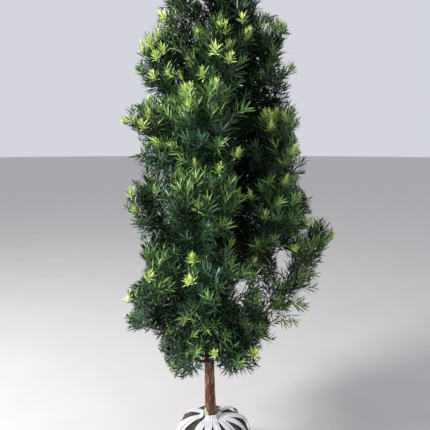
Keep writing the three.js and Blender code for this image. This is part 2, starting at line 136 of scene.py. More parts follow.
LEADER_PLUMP = 0.105
STAGGER = 0.026
BEND_OUT = 0.62
BEND_UP = 0.24
BOUGH_SHARE = 0.4
STEM_SHARE = 0.93
BOUGH_RADIUS = 0.0105
BOUGH_TIP_RADIUS = 0.0065
STEM_TIP_RADIUS = 0.0032
GOLDEN_TURN = 137.508

# The space of a mass: an egg drawn out towards the trunk, cut off flat at the neighbouring masses. Shoots
# may pass the flat borders by up to the slack, and turn up while they stay within the risen reach.
CELL_GAP = 0.003
CELL_SLACK = 0.060
EGG_STRETCH_INWARD = 1.5
EGG_SQUARENESS = 2.5
RISEN_REACH = 1.12

# Twigs, by the rule of the solids: tilts from the stem in degrees, the share of those ending in an opening
# that stay, without leaves, and the steps in which the room for them is measured
TWIG_TILTS = (70, 40)
TWIG_JITTER = 7
TWIG_REACH = 0.86
TWIG_RADIUS = 0.0028
SHORTEST_TWIG = 0.025
BARE_TWIG_SHARE = 0.5
ROOM_STEP = 0.004
ROOM_STEPS = 150

# Side shoots: where they leave the twig, as shares of it, their tilts there in degrees, how they turn up
# between two heights above the ball, and how much longer than its room an outgrown one is
SHOOTS_ALONG = (0.16, 0.90)
SHOOT_TILTS = (58, 34)
SHOOT_JITTER = 8
SHOOT_RISE = 0.35
SHOOT_RISE_HEIGHTS = (0.35, 0.65)
SHOOT_RADIUS = 0.0016
SHOOT_TIP_RADIUS = 0.0006
SHORTEST_SHOOT = 0.028
ROOM_SHARE = 0.95
ROOM_LEFT = 0.012
OUTGROWN_SHARE = 0.14
OUTGROWN = 0.050

# Short shoots in the shade, on boughs and on the trunk. Between two heights above the ball those on boughs
# change from hanging, well lit ones to rising, shaded ones.
INNER_SPACING = 0.012
INNER_LENGTHS = (0.08, 0.13)
INNER_TILTS = (48, 72)
INNER_RISE = (-0.3, 0.2)
INNER_HEIGHTS = (0.35, 0.60)
LOW_DEPTH = 0.8
INNER_DEPTH = 0.3
TRUNK_SHOOTS_FROM = 0.40
TRUNK_SHOOT_SPACING = 0.0048
TRUNK_SHOOT_LENGTHS = (0.12, 0.24)

# Leaves: how far out in the egg they reach, their tilts from the shoot in degrees at its tip and further
# back, how they turn up and roll, and their sizes: at random, at the tip, and of shortened ones
LEAF_REACH = 1.04
LEAF_TILTS = (32, 72)
LEAF_RISE = 0.16
LEAF_ROLL = 28
LEAF_SIZES = (0.82, 1.16)
TIP_LEAF_SIZE = 0.66
SHORTENED = 0.8

# Slim masses, the long arm and the leader, count as more lit and get lighter tints, painted light. Above a
# height their leaves stand further apart, and below it more of their shoots are outgrown.
SLIM_PLUMP = 0.11
SLIM_LEAF_SPACING = 1.35
SLIM_FROM = 0.78
SLIM_OUTGROWN_SHARE = 0.55

# Underside of the crown, as seen from the front in the plane of the trunk: its height above the ball near
# the middle and further out, and where it rises. Nothing hangs lower than HEM_FLOOR.
HEM_LOW = 0.190
HEM_HIGH = 0.440
HEM_MIDDLE = 0.020
HEM_FROM = 0.190
HEM_TO = 0.330
HEM_FLOOR = 0.210

# Low foliage, below a height above the ball, grows in few separate sprays: every second shoot is left out
SPARSE_BELOW = 0.37
SPARSE_STEP = 2

# Openings through the crown, seen in the same way: middle, half width and half height. Leaves may reach
# into an opening by a share of it.
OPENINGS = (
    ((0.149, 0.670), 0.070, 0.085), ((0.342, 0.812), 0.062, 0.085), ((-0.004, 0.215), 0.060, 0.105),
    ((-0.430, 0.835), 0.095, 0.065),
)
LEAF_IN_OPENING = 0.35

# Borders of the crown, seen in the same way: heights above the ball with places across, how ragged they
# are, how far inside them sprigs end and how far past them leaves may stand
LEFT_BORDER = (
    (0.45, -0.41), (0.62, -0.395), (0.73, -0.33), (0.86, -0.305), (0.95, -0.405), (1.02, -0.365),
    (1.18, -0.385), (1.33, -0.31), (1.46, -0.38), (1.54, -0.315), (1.8, -0.31), (1.87, -0.235), (2.1, -0.2),
)
RIGHT_BORDER = (
    (1.06, 0.6), (1.12, 0.425), (1.25, 0.415), (1.45, 0.385), (1.54, 0.42), (1.63, 0.34), (1.72, 0.355),
    (1.85, 0.325), (1.91, 0.23), (2.1, 0.19),
)
BORDER_RAGGED = 0.020
SPRIG_INSIDE = 0.010
LEAF_PAST = 0.020

# The dark cleft between the left and right halves of the crown's front
CLEFT_TURN = -70
CLEFT_FROM = 0.13
CLEFT_HALF_WIDTH = 0.042
CLEFT_LOW = 0.86
CLEFT_HIGH = 1.72

# How far inside the solids' box sprigs end, and how far past it leaves may stand
BOX_INSIDE = 0.012
BOX_PAST = 0.008

# Roughness and shine of each tint's leaves
LEAF_GLOSS = {
    "dark": (0.60, 0.06), "deep": (0.30, 0.40), "bluish": (0.30, 0.50),
    "mid": (0.30, 0.45), "fresh": (0.36, 0.40), "flush": (0.50, 0.30),
}

# Dealing out the tints, partly by chance and partly as painted light and shade: from dark, painted shade,
# through mid to fresh, painted light, with bluish, between dark and mid, a painted reflection of the pale
# surround in glossy leaves. How lit a sprig is depends on chance by spray and by sprig, and rises with its
# place out in the egg, its height and its distance from the trunk. Each tint reaches up to a bound, bluish
# ones less far towards the top, and slim masses are lighter, most of all low down.
LIT_BY_SPRAY = 0.45
LIT_BY_SPRIG = 0.55
LIT_BY_DEPTH = 0.65
LIT_BY_HEIGHT = 0.12
LIT_BY_PLACE = 0.7
LIT_PATCHES = 0.35
MEAN_DEPTH = 0.78
MEAN_HEIGHT = 0.6
MEAN_PLACE = 0.28
DARK_TO = 0.37
BLUISH_TO = (0.55, 0.42)
MID_TO = 0.73
SLIM_LIT = (0.27, 0.12)

# The dull, darker foliage at the crown's top: how far right of the ball's middle it stands, how much darker
# it is, and how much of its new growth is missing
DULL_MIDDLE = 0.07
DULL_DARKER = 0.30
DULL_BARE = 0.7

# New growth, by its share low and high in the crown, and only on sprigs further out than a depth
FLUSH_CROWDING = (0.45, 1.5)
FLUSH_DEPTH = 0.72

# Share of a sprig's leaves that stand in the light at its tip, and the darker tint, painted shade, of the
# ones behind them
TIP_LEAVES = 0.40
BEHIND = {"fresh": "mid", "mid": "deep", "bluish": "deep", "dark": "dark"}

PIECE_TRIANGLES = 190000

# Camera, with its focal length in pixels of a picture 430 wide
CAMERA_PLACE = (0.02, -2.065, 1.645)
CAMERA_PITCH = 81
CAMERA_FOCAL_PIXELS = 450
PICTURE_PIXELS = 430

# Lights: place, size and tint, and the place that they all face
LIGHTS = {
    "key": ((-3.8, -1.9, 3.7), 1.4, (1.0, 0.985, 0.96)),
    "fill": ((2.8, -1.6, 2.2), 2.0, (0.92, 0.96, 1.0)),
}
LIGHTS_AIM = (0, 0, 1.2)

UP = np.array((0.0, 0.0, 1.0))
SOLID_LOW, SOLID_HIGH = np.array(SOLID_BOX)
FOLIAGE_NODES = sorted(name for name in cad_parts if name.startswith("foliage_"))
BOUGH_NODES = sorted(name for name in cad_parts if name.startswith("bough_"))


def amount(name, description, default, **more):
    return FloatProperty(name=name, description=description, default=default, min=0, **more)


def length(name, description, default):
    return amount(name, description, default, precision=4, unit="LENGTH")


def share(name, description, default):
    return amount(name, description, default, max=1, subtype="FACTOR")


def colour(name, description, default):
    return FloatVectorProperty(
        name=name, description=description, default=default, size=3, min=0, max=1, subtype="COLOR")


class BarkSettings(bpy.types.PropertyGroup):
    fissure_depth: length("Fissure depth", "How deep the upright fissures of the bark are", 0.0018)
    fissure_spacing: length("Fissure spacing", "Distance between fissures, round the trunk", 0.011)
    fissure_length: length("Fissure length", "How far a fissure runs up the trunk", 0.075)
    collar: length("Collar", "How much a bough thickens where it leaves the trunk", 0.005)
    plates: colour("Plates", "Colour of the outer plates of bark", (0.115, 0.041, 0.026))
    weathered: colour("Weathered", "Colour of the oldest, greyed plates", (0.35, 0.20, 0.15))
    fissures: colour("Fissures", "Colour deep in the fissures", (0.030, 0.012, 0.008))
    foot: colour("Foot", "Greenish bloom low on the trunk", (0.23, 0.19, 0.085))


class CrownSettings(bpy.types.PropertyGroup):
    twigs: IntProperty(name="Twigs", description="Twigs on the stem of each mass", default=15, min=2, max=40)
    shoot_spacing: length("Shoot spacing", "Distance from one side shoot to the next along a twig", 0.0185)
    shoot_length: length("Shoot length", "Length of a side shoot low on a twig", 0.145)
    lift: share("Lift", "How much twigs and shoots turn up, as a share of their length", 0.34)
    twig_bark: colour("Twig bark", "Colour of the older twigs", (0.22, 0.135, 0.085))
    shoot_bark: colour("Shoot bark", "Colour of the young green shoots", (0.105, 0.165, 0.040))


class LeafSettings(bpy.types.PropertyGroup):
    leaf_length: length("Leaf length", "Length of a full-grown leaf", 0.063)
    leaf_width: length("Leaf width", "Width of a full-grown leaf", 0.0061)
    leaf_spacing: length("Leaf spacing", "Distance from one leaf to the next along a shoot", 0.0056)
    leafy: length("Leafy length", "How far back from its tip a shoot keeps its leaves", 0.130)
    flush_length: length("Flush leaf length", "Length of a leaf of this year's growth", 0.037)
    flush_share: share("Flush share", "Share of the outer shoots that are in new growth", 0.11)
    # Tints of full-grown leaves, from dark, painted shade, to fresh, painted light. Deep paints the shade
    # behind a spray's lit tip leaves. Flush is the new growth's own colour.
    dark: colour("Dark", "Leaves of the shaded sprays", (0.005, 0.015, 0.006))
    deep: colour("Deep", "Leaves behind the lit ones of a spray", (0.012, 0.040, 0.022))
    # Bluish paints the reflection of the pale surround in glossy leaves, on moderately lit sprays.
    bluish: colour("Bluish", "Leaves of the bluish sprays", (0.042, 0.122, 0.066))
    mid: colour("Mid", "Leaves of most outer sprays", (0.034, 0.090, 0.021))
    fresh: colour("Fresh", "Leaves of the lightest full-grown sprays", (0.150, 0.285, 0.070))
    flush: colour("Flush", "Leaves of this year's growth", (0.60, 0.76, 0.24))


class BallSettings(bpy.types.PropertyGroup):
    clod: length("Clod size", "Size of the clods in the soil", 0.016)
    relief: length("Relief", "How deep the soil's surface is broken up", 0.006)
    soil: colour("Soil", "Colour of the drier soil", (0.105, 0.080, 0.062))
    # Colour of the soil's hollows, darker as painted shade; it also tints darker patches of soil.
    darker_soil: colour("Darker soil", "Colour of the damp soil in the hollows", (0.030, 0.022, 0.016))


class StripSettings(bpy.types.PropertyGroup):
    thickness: length("Thickness", "Thickness of a wrapping strip", 0.0009)
    crinkle: length("Crinkle", "Height of the folds that run along a strip", 0.0016)
    puff: length("Puff", "How high a slack strip stands off the ball", 0.009)
    film: colour("Film", "Colour of the strips", (0.60, 0.61, 0.64))
    soiled: colour("Soiled", "Colour of the strips where soil has stained them", (0.36, 0.33, 0.22))
    knot: colour("Knot", "Colour of the knotted tie at the trunk's foot", (0.50, 0.52, 0.33))


class StageSettings(bpy.types.PropertyGroup):
    floor: colour("Floor", "Colour of the floor", (0.57, 0.56, 0.55))
    sky: colour("Surround", "Colour of the even light all round", (0.78, 0.79, 0.85))
    sky_strength: amount("Surround strength", "Strength of the even light", 0.85)
    key_watts: amount("Key light", "Power of the large soft light at the upper left", 430, unit="POWER")
    fill_watts: amount("Fill light", "Power of the soft light at the right", 6, unit="POWER")


def lerp(low, high, factor):
    return low + (high - low) * factor


def smooth_step(low, high, value):
    factor = min(1, max(0, (value - low) / (high - low)))
    return factor * factor * (3 - 2 * factor)


def unit(vector):
    return vector / np.linalg.norm(vector)


def heading(turn):
    """A direction in the ground plane, from its turn in degrees."""
    return np.array((math.cos(math.radians(turn)), math.sin(math.radians(turn)), 0.0))


def turned(first, second, angle):
    """`first` turned towards `second`, which stands square to it, by `angle` in radians."""
    return first * math.cos(angle) + second * math.sin(angle)


def leaning(axis, tilt, turn):
    """A direction that leans from `axis` by `tilt` degrees, turned round it by `turn` degrees."""
    first = unit(np.cross(axis, UP if abs(axis[2]) < 0.9 else (1.0, 0.0, 0.0)))
    aside = turned(first, np.cross(axis, first), math.radians(turn))
    return turned(axis, aside, math.radians(tilt))


class Seeded:
    """Numbers from 0 to 1 from a seed, by the rule of the solids, the same on every run."""

    def __init__(self, seed):
        self.state = (seed * 2654435761 + 12345) & 0xFFFFFFFF

    def __call__(self, low=0.0, high=1.0):
        self.state = (self.state * 1664525 + 1013904223) & 0xFFFFFFFF
        return low + (high - low) * self.state / 4294967296


def trunk_point(share):
    aside = LEAN * share - SWAY * math.sin(2 * math.pi * share)
    away = -0.6 * SWAY * math.sin(math.pi * share)
    return np.array((aside, away, BALL_TOP + GAP + share * TRUNK_HEIGHT))


def trunk_radius(share):
    taper = lerp(TRUNK_TIP_RADIUS, TRUNK_FOOT_RADIUS, (1 - min(share, 1)) ** TRUNK_TAPER)
    return taper + FLARE * math.exp(-share * TRUNK_HEIGHT / FLARE_FADE)


def bough_radius(share):
    return lerp(BOUGH_RADIUS, BOUGH_TIP_RADIUS, share / BOUGH_SHARE)


def stem_radius(share):
    return lerp(BOUGH_TIP_RADIUS, STEM_TIP_RADIUS, max(0, share - BOUGH_SHARE) / (1 - BOUGH_SHARE))


class Mass:
    """A mass of foliage: its path from the trunk to its tip, and the egg that its twigs keep to."""

    def __init__(self, seed, path, plump, has_bough, leaf_from):
        self.seed = seed
        self.path = path
        self.plump = plump
        self.has_bough = has_bough
        self.leaf_from = leaf_from
        low, high = self.point(leaf_from), self.point(1)
        self.axis = unit(high - low)
        self.centre = (low + high) / 2
        self.long = np.linalg.norm(high - low) / 2

    def point(self, share):
        start, bend, end = self.path
        return start * (1 - share) ** 2 + bend * 2 * share * (1 - share) + end * share ** 2

    def tangent(self, share):
        start, bend, end = self.path
        return unit((bend - start) * (1 - share) + (end - bend) * share)

    def wall_off(self, others):
        """Sets the flat borders to the neighbouring masses."""
        walls = []
        for other in others:
            if other is self:
                continue
            apart = other.centre - self.centre
            spread = np.linalg.norm(apart)
            border = spread / 2 + (self.plump ** 2 - other.plump ** 2) / (2 * spread)
            walls.append((apart / spread, border - CELL_GAP))
        self.wall_normals, self.wall_borders = (np.array(column) for column in zip(*walls))

    def egg(self, points):
        """How far out in the egg each point lies: 1 at its shell, which is drawn out towards the trunk."""
        offset = points - self.centre
        along = offset @ self.axis
        aside = np.sqrt(np.maximum(0, (offset ** 2).sum(axis=-1) - along ** 2))
        inward = along < 0
        along = np.abs(along) / (self.long * np.where(inward, EGG_STRETCH_INWARD, 1.0))
        power = np.where(inward, EGG_SQUARENESS, 2.0)
        return (along ** power + (aside / self.plump) ** power) ** (1 / power)

    def holds(self, points, reach=1.0, slack=0.0):
        in_cell = ((points - self.centre) @ self.wall_normals.T <= self.wall_borders + slack).all(axis=-1)
        return in_cell & (self.egg(points) <= reach)

    def room(self, start, direction, slack=0.0):
        """How far a straight line stays in the space, or at most `slack` past its flat borders."""
        steps = np.arange(1, ROOM_STEPS + 1) * ROOM_STEP
        held = self.holds(start + steps[:, None] * direction, 1.0, slack)
        return ROOM_STEP * (ROOM_STEPS if held.all() else int(np.argmin(held)))


@lru_cache(maxsize=None)
def plan_masses():
    masses = []
    for leaves_at, plump, has_bough, tips in TIERS.values():
        for order, (turn, reach, height) in enumerate(tips):
            outward = heading(turn)
            stagger = (2 * order) % len(tips)
            start = trunk_point((leaves_at + STAGGER * stagger) / TRUNK_HEIGHT)
            end = outward * reach + UP * (BALL_TOP + height)
            end[0] += trunk_point(min(1, height / TRUNK_HEIGHT))[0]
            bend = start + outward * reach * BEND_OUT + UP * (end[2] - start[2]) * BEND_UP
            masses.append(Mass(len(masses) + 1, (start, bend, end), plump, has_bough, BOUGH_SHARE))
    start = trunk_point(1) + UP * GAP
    end = np.array((start[0], start[1], BALL_TOP + LEADER_HEIGHT))
    masses.append(Mass(len(masses) + 1, (start, (start + end) / 2, end), LEADER_PLUMP, False, 0))
    for mass in masses:
        mass.wall_off(masses)
    return masses


@dataclass
class Sprig:
    """A stem, twig or shoot: its middle line, its radii, and how far its leaves reach back from its tip."""
    line: np.ndarray
    radii: tuple
    leafy: float
    seed: int
    mass: Mass
    depth: float
    kind: str
    spray: int = 0


def in_cleft(points):
    height = points[:, 2] - BALL_TOP
    offset = points - np.array([trunk_point(min(1, max(0, rise / TRUNK_HEIGHT))) for rise in height])
    along = offset @ heading(CLEFT_TURN)
    aside = np.abs(offset @ heading(CLEFT_TURN + 90))
    return (along > CLEFT_FROM) & (aside < CLEFT_HALF_WIDTH) & (height > CLEFT_LOW) & (height < CLEFT_HIGH)


def seen_at(points):
    """Where points appear from the front, in the plane of the trunk: across, and above the ball."""
    eye = np.array(CAMERA_PLACE)
    seen = eye + (points - eye) * (-eye[1] / (points[:, 1:2] - eye[1]))
    return seen[:, 0], seen[:, 2] - BALL_TOP


def below_hem(points):
    """Whether points hang below the crown's underside, as it is seen from the front."""
    across, height = seen_at(points)
    out = np.clip((np.abs(across - HEM_MIDDLE) - HEM_FROM) / (HEM_TO - HEM_FROM), 0, 1)
    hem = HEM_LOW + (HEM_HIGH - HEM_LOW) * out * out * (3 - 2 * out)
    return (height < hem) | (points[:, 2] - BALL_TOP < HEM_FLOOR)


def past_border(points, slack):
    """Whether points appear, from the front, over `slack` past the crown's ragged left or right border."""
    across, height = seen_at(points)
    left, right = (np.interp(height, *zip(*border)) for border in (LEFT_BORDER, RIGHT_BORDER))
    slack = slack + BORDER_RAGGED * (np.sin(31 * height) + 0.7 * np.sin(83 * height + 2))
    return (across < left - slack) | (across > right + slack)


def in_opening(points, depth=0.0):
    """Whether points lie in one of the ragged openings through the crown, `depth` or more inside its rim."""
    bare = np.zeros(len(points), bool)
    seen_across, seen_height = seen_at(points)
    for middle, half_width, half_height in OPENINGS:
        across = (seen_across - middle[0]) / half_width
        up = (seen_height - middle[1]) / half_height
        turn = np.arctan2(up, across)
        ragged = 0.8 + 0.22 * np.sin(3 * turn + 1) + 0.16 * np.sin(7 * turn) + 0.10 * np.sin(13 * turn)
        bare |= np.hypot(across, up) < ragged - depth
    return bare


def in_box(point, margin):
    return bool(((point > SOLID_LOW - margin) & (point < SOLID_HIGH + margin)).all())


def left_bare(point):
    """Whether a sprig that ends here is left out, to keep the crown's gaps, cleft and outline."""
    here = point[None]
    bare = in_cleft(here) | in_opening(here) | below_hem(here) | past_border(here, -SPRIG_INSIDE)
    return bool(bare[0]) or not in_box(point, -BOX_INSIDE)


def rising_line(mass, start, direction, reach, lift, steps):
    """A line along `direction` that turns up, or stays straight where it would leave the space."""
    along = np.linspace(0, 1, steps + 1)[:, None]
    straight = start + direction * reach * along
    risen = straight + UP * lift * reach * along ** 2
    return risen if mass.holds(risen[-1:], RISEN_REACH, CELL_SLACK)[0] else straight


def grow_mass(mass, twigs, spacing, shoot_length, lift):
    """Twigs leave the stem a golden turn apart, and shoots leave the twigs by the same rule."""
    random = Seeded(mass.seed)
    phase = 360 * random()
    stem_from = BOUGH_SHARE if mass.has_bough else 0
    stem_shares = np.linspace(stem_from, STEM_SHARE, 10)
    stem_line = np.array([mass.point(share) for share in stem_shares])
    past = past_border(stem_line, 0)
    if past.any():
        stem_line = stem_line[:max(2, int(np.argmax(past)))]
    stem_radii = (stem_radius(stem_from), stem_radius(STEM_SHARE))
    leafy = 1.1 * mass.long
    sprigs = [Sprig(stem_line, stem_radii, leafy, mass.seed * 31, mass, 0.6, "twig", mass.seed * 100)]
    sprigs += grow_inner(mass)
    twigs = round(twigs * max(1, mass.long / 0.14))
    for i in range(twigs):
        rank = i / (twigs - 1)
        share = lerp(lerp(mass.leaf_from, 1, 0.02), STEM_SHARE - 0.03, rank)
        start = mass.point(share)
        tilt = 0 if rank == 1 else lerp(*TWIG_TILTS, rank) + random(-TWIG_JITTER, TWIG_JITTER)
        direction = leaning(mass.tangent(share), tilt, phase + i * GOLDEN_TURN)
        reach = mass.room(start, direction) * TWIG_REACH
        if reach < SHORTEST_TWIG or past_border(start[None], 0)[0]:
            continue
        line = rising_line(mass, start, direction, reach, lift * 0.6, 8)
        if left_bare(line[-1]):
            if in_opening(line[-1][None])[0] and random() < BARE_TWIG_SHARE:
                sprigs.append(Sprig(line, (SHOOT_RADIUS, SHOOT_TIP_RADIUS), 0, 0, mass, 0, "twig"))
            continue
        spray = mass.seed * 100 + i
        thick = min(TWIG_RADIUS, 0.0012 + reach * 0.010)
        depth = float(mass.egg(line[-1]))
        sprigs.append(Sprig(line, (thick, SHOOT_TIP_RADIUS), reach, spray, mass, depth, "twig", spray))
        sprigs += grow_shoots(mass, line, reach, spray, spacing, shoot_length, lift)
    return sprigs


def shaded_shoot(start, direction, reach, radius, mass, spray, depth=INNER_DEPTH):
    """A short leafy shoot inside the crown, or none where it would end in an opening."""
    along = np.linspace(0, 1, 6)[:, None]
    line = start + direction * reach * along + UP * 0.1 * reach * along ** 2
    if left_bare(line[-1]):
        return []
    return [Sprig(line, (radius, SHOOT_TIP_RADIUS), reach, spray * 50, mass, depth, "shoot", spray)]


def grow_inner(mass):
    """Short leafy shoots on a bough, in the shade between the trunk and the mass."""
    random = Seeded(mass.seed * 977)
    until = BOUGH_SHARE if mass.has_bough else 0.6
    span = np.linalg.norm(mass.point(until) - mass.point(0))
    count = int(span * 0.75 / (INNER_SPACING * min(1, mass.plump / 0.15)))
    shoots = []
    for k in range(count):
        share = until * lerp(0.25, 1, (k + random(0.2, 0.8)) / count)
        start = mass.point(share)
        shaded = smooth_step(*INNER_HEIGHTS, start[2] - BALL_TOP)
        aside = leaning(mass.tangent(share), random(*INNER_TILTS), k * GOLDEN_TURN)
        direction = unit(aside + UP * lerp(*INNER_RISE, shaded))
        spray, depth = mass.seed * 100 + 50 + k, lerp(LOW_DEPTH, INNER_DEPTH, shaded)
        shoots += shaded_shoot(start, direction, random(*INNER_LENGTHS), SHOOT_RADIUS, mass, spray, depth)
    return shoots


def grow_trunk_shoots():
    """Leafy shoots straight from the trunk, which close the crown's inside between the tiers."""
    random = Seeded(4001)
    masses = plan_masses()
    shoots = []
    count = int((TRUNK_HEIGHT - TRUNK_SHOOTS_FROM) / TRUNK_SHOOT_SPACING)
    for k in range(count):
        height = TRUNK_SHOOTS_FROM + k * TRUNK_SHOOT_SPACING
        start = trunk_point(height / TRUNK_HEIGHT)
        outward = heading(k * GOLDEN_TURN + random(-20, 20))
        direction = turned(outward, UP, math.radians(random(15, 50)))
        taper = smooth_step(TRUNK_HEIGHT + 0.25, TRUNK_HEIGHT - 0.5, height)
        reach = random(*TRUNK_SHOOT_LENGTHS) * lerp(0.55, 1, taper)
        nearest = min(masses, key=lambda mass: mass.egg(start + direction * reach))
        shoots += shaded_shoot(start, direction, reach, TWIG_RADIUS, nearest, 9000 + k)
    return shoots


def grow_shoots(mass, line, reach, spray, spacing, shoot_length, lift):
    """Side shoots along a twig, most of them within the room that the mass leaves them."""
    random = Seeded(spray)
    phase = 360 * random()
    shoots = []
    count = max(1, int(reach * 0.78 / spacing))
    for j in range(count):
        along = lerp(*SHOOTS_ALONG, (j + random(0.1, 0.9)) / count)
        station = along * (len(line) - 1)
        low = int(station)
        start = lerp(line[low], line[low + 1], station - low)
        axis = unit(line[low + 1] - line[low])
        tilt = lerp(*SHOOT_TILTS, along) + random(-SHOOT_JITTER, SHOOT_JITTER)
        rise = SHOOT_RISE * smooth_step(*SHOOT_RISE_HEIGHTS, start[2] - BALL_TOP)
        direction = unit(leaning(axis, tilt, phase + j * GOLDEN_TURN) + UP * rise)
        room = mass.room(start, direction, CELL_SLACK * random())
        room_left = room if is_slim(mass) else room * ROOM_SHARE - ROOM_LEFT
        shoot = min(room_left, lerp(shoot_length, shoot_length * 0.55, along) * random(0.75, 1.2))
        low_arm = is_slim(mass) and start[2] - BALL_TOP < SLIM_FROM
        if random() < (SLIM_OUTGROWN_SHARE if low_arm else OUTGROWN_SHARE):
            shoot = min(room + OUTGROWN, shoot_length * 1.1)
        if shoot < SHORTEST_SHOOT:
            continue
        shoot_line = rising_line(mass, start, direction, shoot, lift, 5)
        sparse = shoot_line[-1][2] - BALL_TOP < SPARSE_BELOW and (spray + j) % SPARSE_STEP == 0
        if sparse or left_bare(shoot_line[-1]):
            continue
        depth = float(mass.egg(shoot_line[-1]))
        radii = (SHOOT_RADIUS, SHOOT_TIP_RADIUS)
        shoots.append(Sprig(shoot_line, radii, shoot, spray * 50 + j, mass, depth, "shoot", spray))
    return shoots


@lru_cache(maxsize=None)
def grow_crown(twigs, spacing, shoot_length, lift):
    grown = [grow_mass(mass, twigs, spacing, shoot_length, lift) for mass in plan_masses()]
    return sum(grown, []) + grow_trunk_shoots()


def crown_of(settings):
    return grow_crown(settings.twigs, settings.shoot_spacing, settings.shoot_length, settings.lift)


def leaf_template():
    """A leaf's blade as corners and triangles: narrow, and folded along its midrib."""
    shape = bmesh.new()
    bmesh.ops.create_grid(shape, x_segments=2, y_segments=3, size=0.5)
    for corner in shape.verts:
        side, along = corner.co.x, corner.co.y + 0.5
        width = math.sin(math.pi * along ** 0.8) ** 0.6 if 0 < along < 1 else 0
        corner.co = (side * width, along, abs(side) * width)
    bmesh.ops.remove_doubles(shape, verts=shape.verts, dist=1e-6)
    bmesh.ops.triangulate(shape, faces=shape.faces)
    shape.verts.index_update()
    corners = np.array([corner.co[:] for corner in shape.verts])
    faces = np.array([[corner.index for corner in face.verts] for face in shape.faces])
    shape.free()
    return corners, faces


def placed(name, data):
    """A new object in the scene, from its mesh, lamp or lens."""
    new = bpy.data.objects.new(name, data)
    bpy.context.scene.collection.objects.link(new)
    return new


def joined_piece(name, corners, faces):
    """One mesh from many copies of a small shape, given as (copies, corners, 3) and its triangles."""
    copies, per_copy, _ = corners.shape
    triangles = (faces[None] + per_copy * np.arange(copies)[:, None, None]).reshape(-1, 3)
    mesh = bpy.data.meshes.new(name)
    mesh.vertices.add(copies * per_copy)
    mesh.vertices.foreach_set("co", corners.astype(np.float32).ravel())
    mesh.loops.add(triangles.size)
    mesh.loops.foreach_set("vertex_index", triangles.astype(np.int32).ravel())
    mesh.polygons.add(len(triangles))
    mesh.polygons.foreach_set("loop_start", np.arange(0, triangles.size, 3, dtype=np.int32))
    mesh.update(calc_edges=True)
    mesh.shade_smooth()
    return placed(name, mesh)


def tubes(lines, radii, sides):
    """Closed tapering tubes along many lines of equal steps, as corners and triangles."""
    count, rings, _ = lines.shape
    tangents = np.gradient(lines, axis=1)
    tangents /= np.linalg.norm(tangents, axis=2, keepdims=True)
    first = np.cross(tangents, np.array((0.31, 0.52, 0.79)))
    first /= np.linalg.norm(first, axis=2, keepdims=True)
    second = np.cross(tangents, first)
    turns = np.arange(sides) * 2 * math.pi / sides
    thick = lerp(radii[:, :1], radii[:, 1:], np.linspace(0, 1, rings))[:, :, None, None]
    rim = first[:, :, None] * np.cos(turns)[:, None] + second[:, :, None] * np.sin(turns)[:, None]
    corners = (lines[:, :, None] + rim * thick).reshape(count, rings * sides, 3)
    faces = []
    for ring in range(rings - 1):
        for side in range(sides):
            low, next_low = ring * sides + side, ring * sides + (side + 1) % sides
            faces += [(low, next_low, low + sides), (next_low, next_low + sides, low + sides)]
    top = (rings - 1) * sides
    for side in range(1, sides - 1):
        faces += [(0, side + 1, side), (top, top + side, top + side + 1)]
    return corners, np.array(faces)


def dress(piece, material):
    """Gives a piece its material and its place in the frame."""
    piece.data.materials.clear()
    piece.data.materials.append(material)
    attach(piece, "root")
    return piece


class Finish:
    """A material being built from nodes, on Object coordinates."""

    def __init__(self, name, roughness, specular):
        self.material = bpy.data.materials.new(name)
        self.material.use_nodes = True
        self.tree = self.material.node_tree
        self.shader = self.tree.nodes["Principled BSDF"]
        self.feed(self.shader, {"Roughness": roughness, "Specular IOR Level": specular})
        self.place = self.node("TexCoord").outputs["Object"]

    def feed(self, node, inputs):
        """Sets a node's inputs to plain values, or links the outputs of other nodes to them."""
        for name, value in inputs.items():
            if isinstance(value, bpy.types.NodeSocket):
                self.tree.links.new(value, node.inputs[name])
            else:
                node.inputs[name].default_value = value

    def node(self, kind, **inputs):
        node = self.tree.nodes.new("ShaderNode" + kind)
        self.feed(node, inputs)
        return node

    def stretched(self, *scale):
        return self.node("Mapping", Scale=scale, Vector=self.place).outputs["Vector"]

    def grain(self, scale, detail, roughness, place=None):
        place = place or self.place
        grain = self.node("TexNoise", Scale=scale, Detail=detail, Roughness=roughness, Vector=place)
        return grain.outputs["Fac"]

    def clods(self, scale):
        return self.node("TexVoronoi", Scale=scale, Vector=self.place).outputs["Distance"]

    def ramp(self, value, *stops):
        """Colours, or plain values, that follow `value` through the given stops."""
        ramp = self.node("ValToRGB", Fac=value)
        elements = ramp.color_ramp.elements
        while len(elements) < len(stops):
            elements.new(0.5)
        for element, (at, tone) in zip(elements, stops):
            element.position = at
            element.color = (*tone, 1) if hasattr(tone, "__len__") else (tone, tone, tone, 1)
        return ramp.outputs["Color"]

    def tones(self, value, colour, dark, bright, low=0.3, high=0.7):
        """A colour that follows `value` from a darker to a brighter shade."""
        return self.ramp(value, (low, shade(colour, dark)), (high, shade(colour, bright)))

    def blend(self, first, second, factor=0.5):
        """A mix of two colours, which are inputs 6 and 7 of a mix node and give its output 2."""
        blend = self.node("Mix")
        blend.data_type = "RGBA"
        self.feed(blend, {"Factor": factor, 6: first, 7: second})
        return blend.outputs[2]

    def height(self):
        return self.node("SeparateXYZ", Vector=self.place).outputs["Z"]

    def range(self, value, low, high, to_low, to_high):
        limits = {"From Min": low, "From Max": high, "To Min": to_low, "To Max": to_high}
        return self.node("MapRange", Value=value, **limits).outputs["Result"]

    def made(self, colour, height, strength, distance, **inputs):
        """The material, with its colour, its relief from `height`, and other inputs of the shader."""
        bump = self.node("Bump", Strength=strength, Distance=distance, Height=height)
        self.feed(self.shader, {"Base Color": colour, "Normal": bump.outputs["Normal"], **inputs})
        return self.material


def shade(colour, factor):
    return tuple(min(1, channel * factor) for channel in colour)


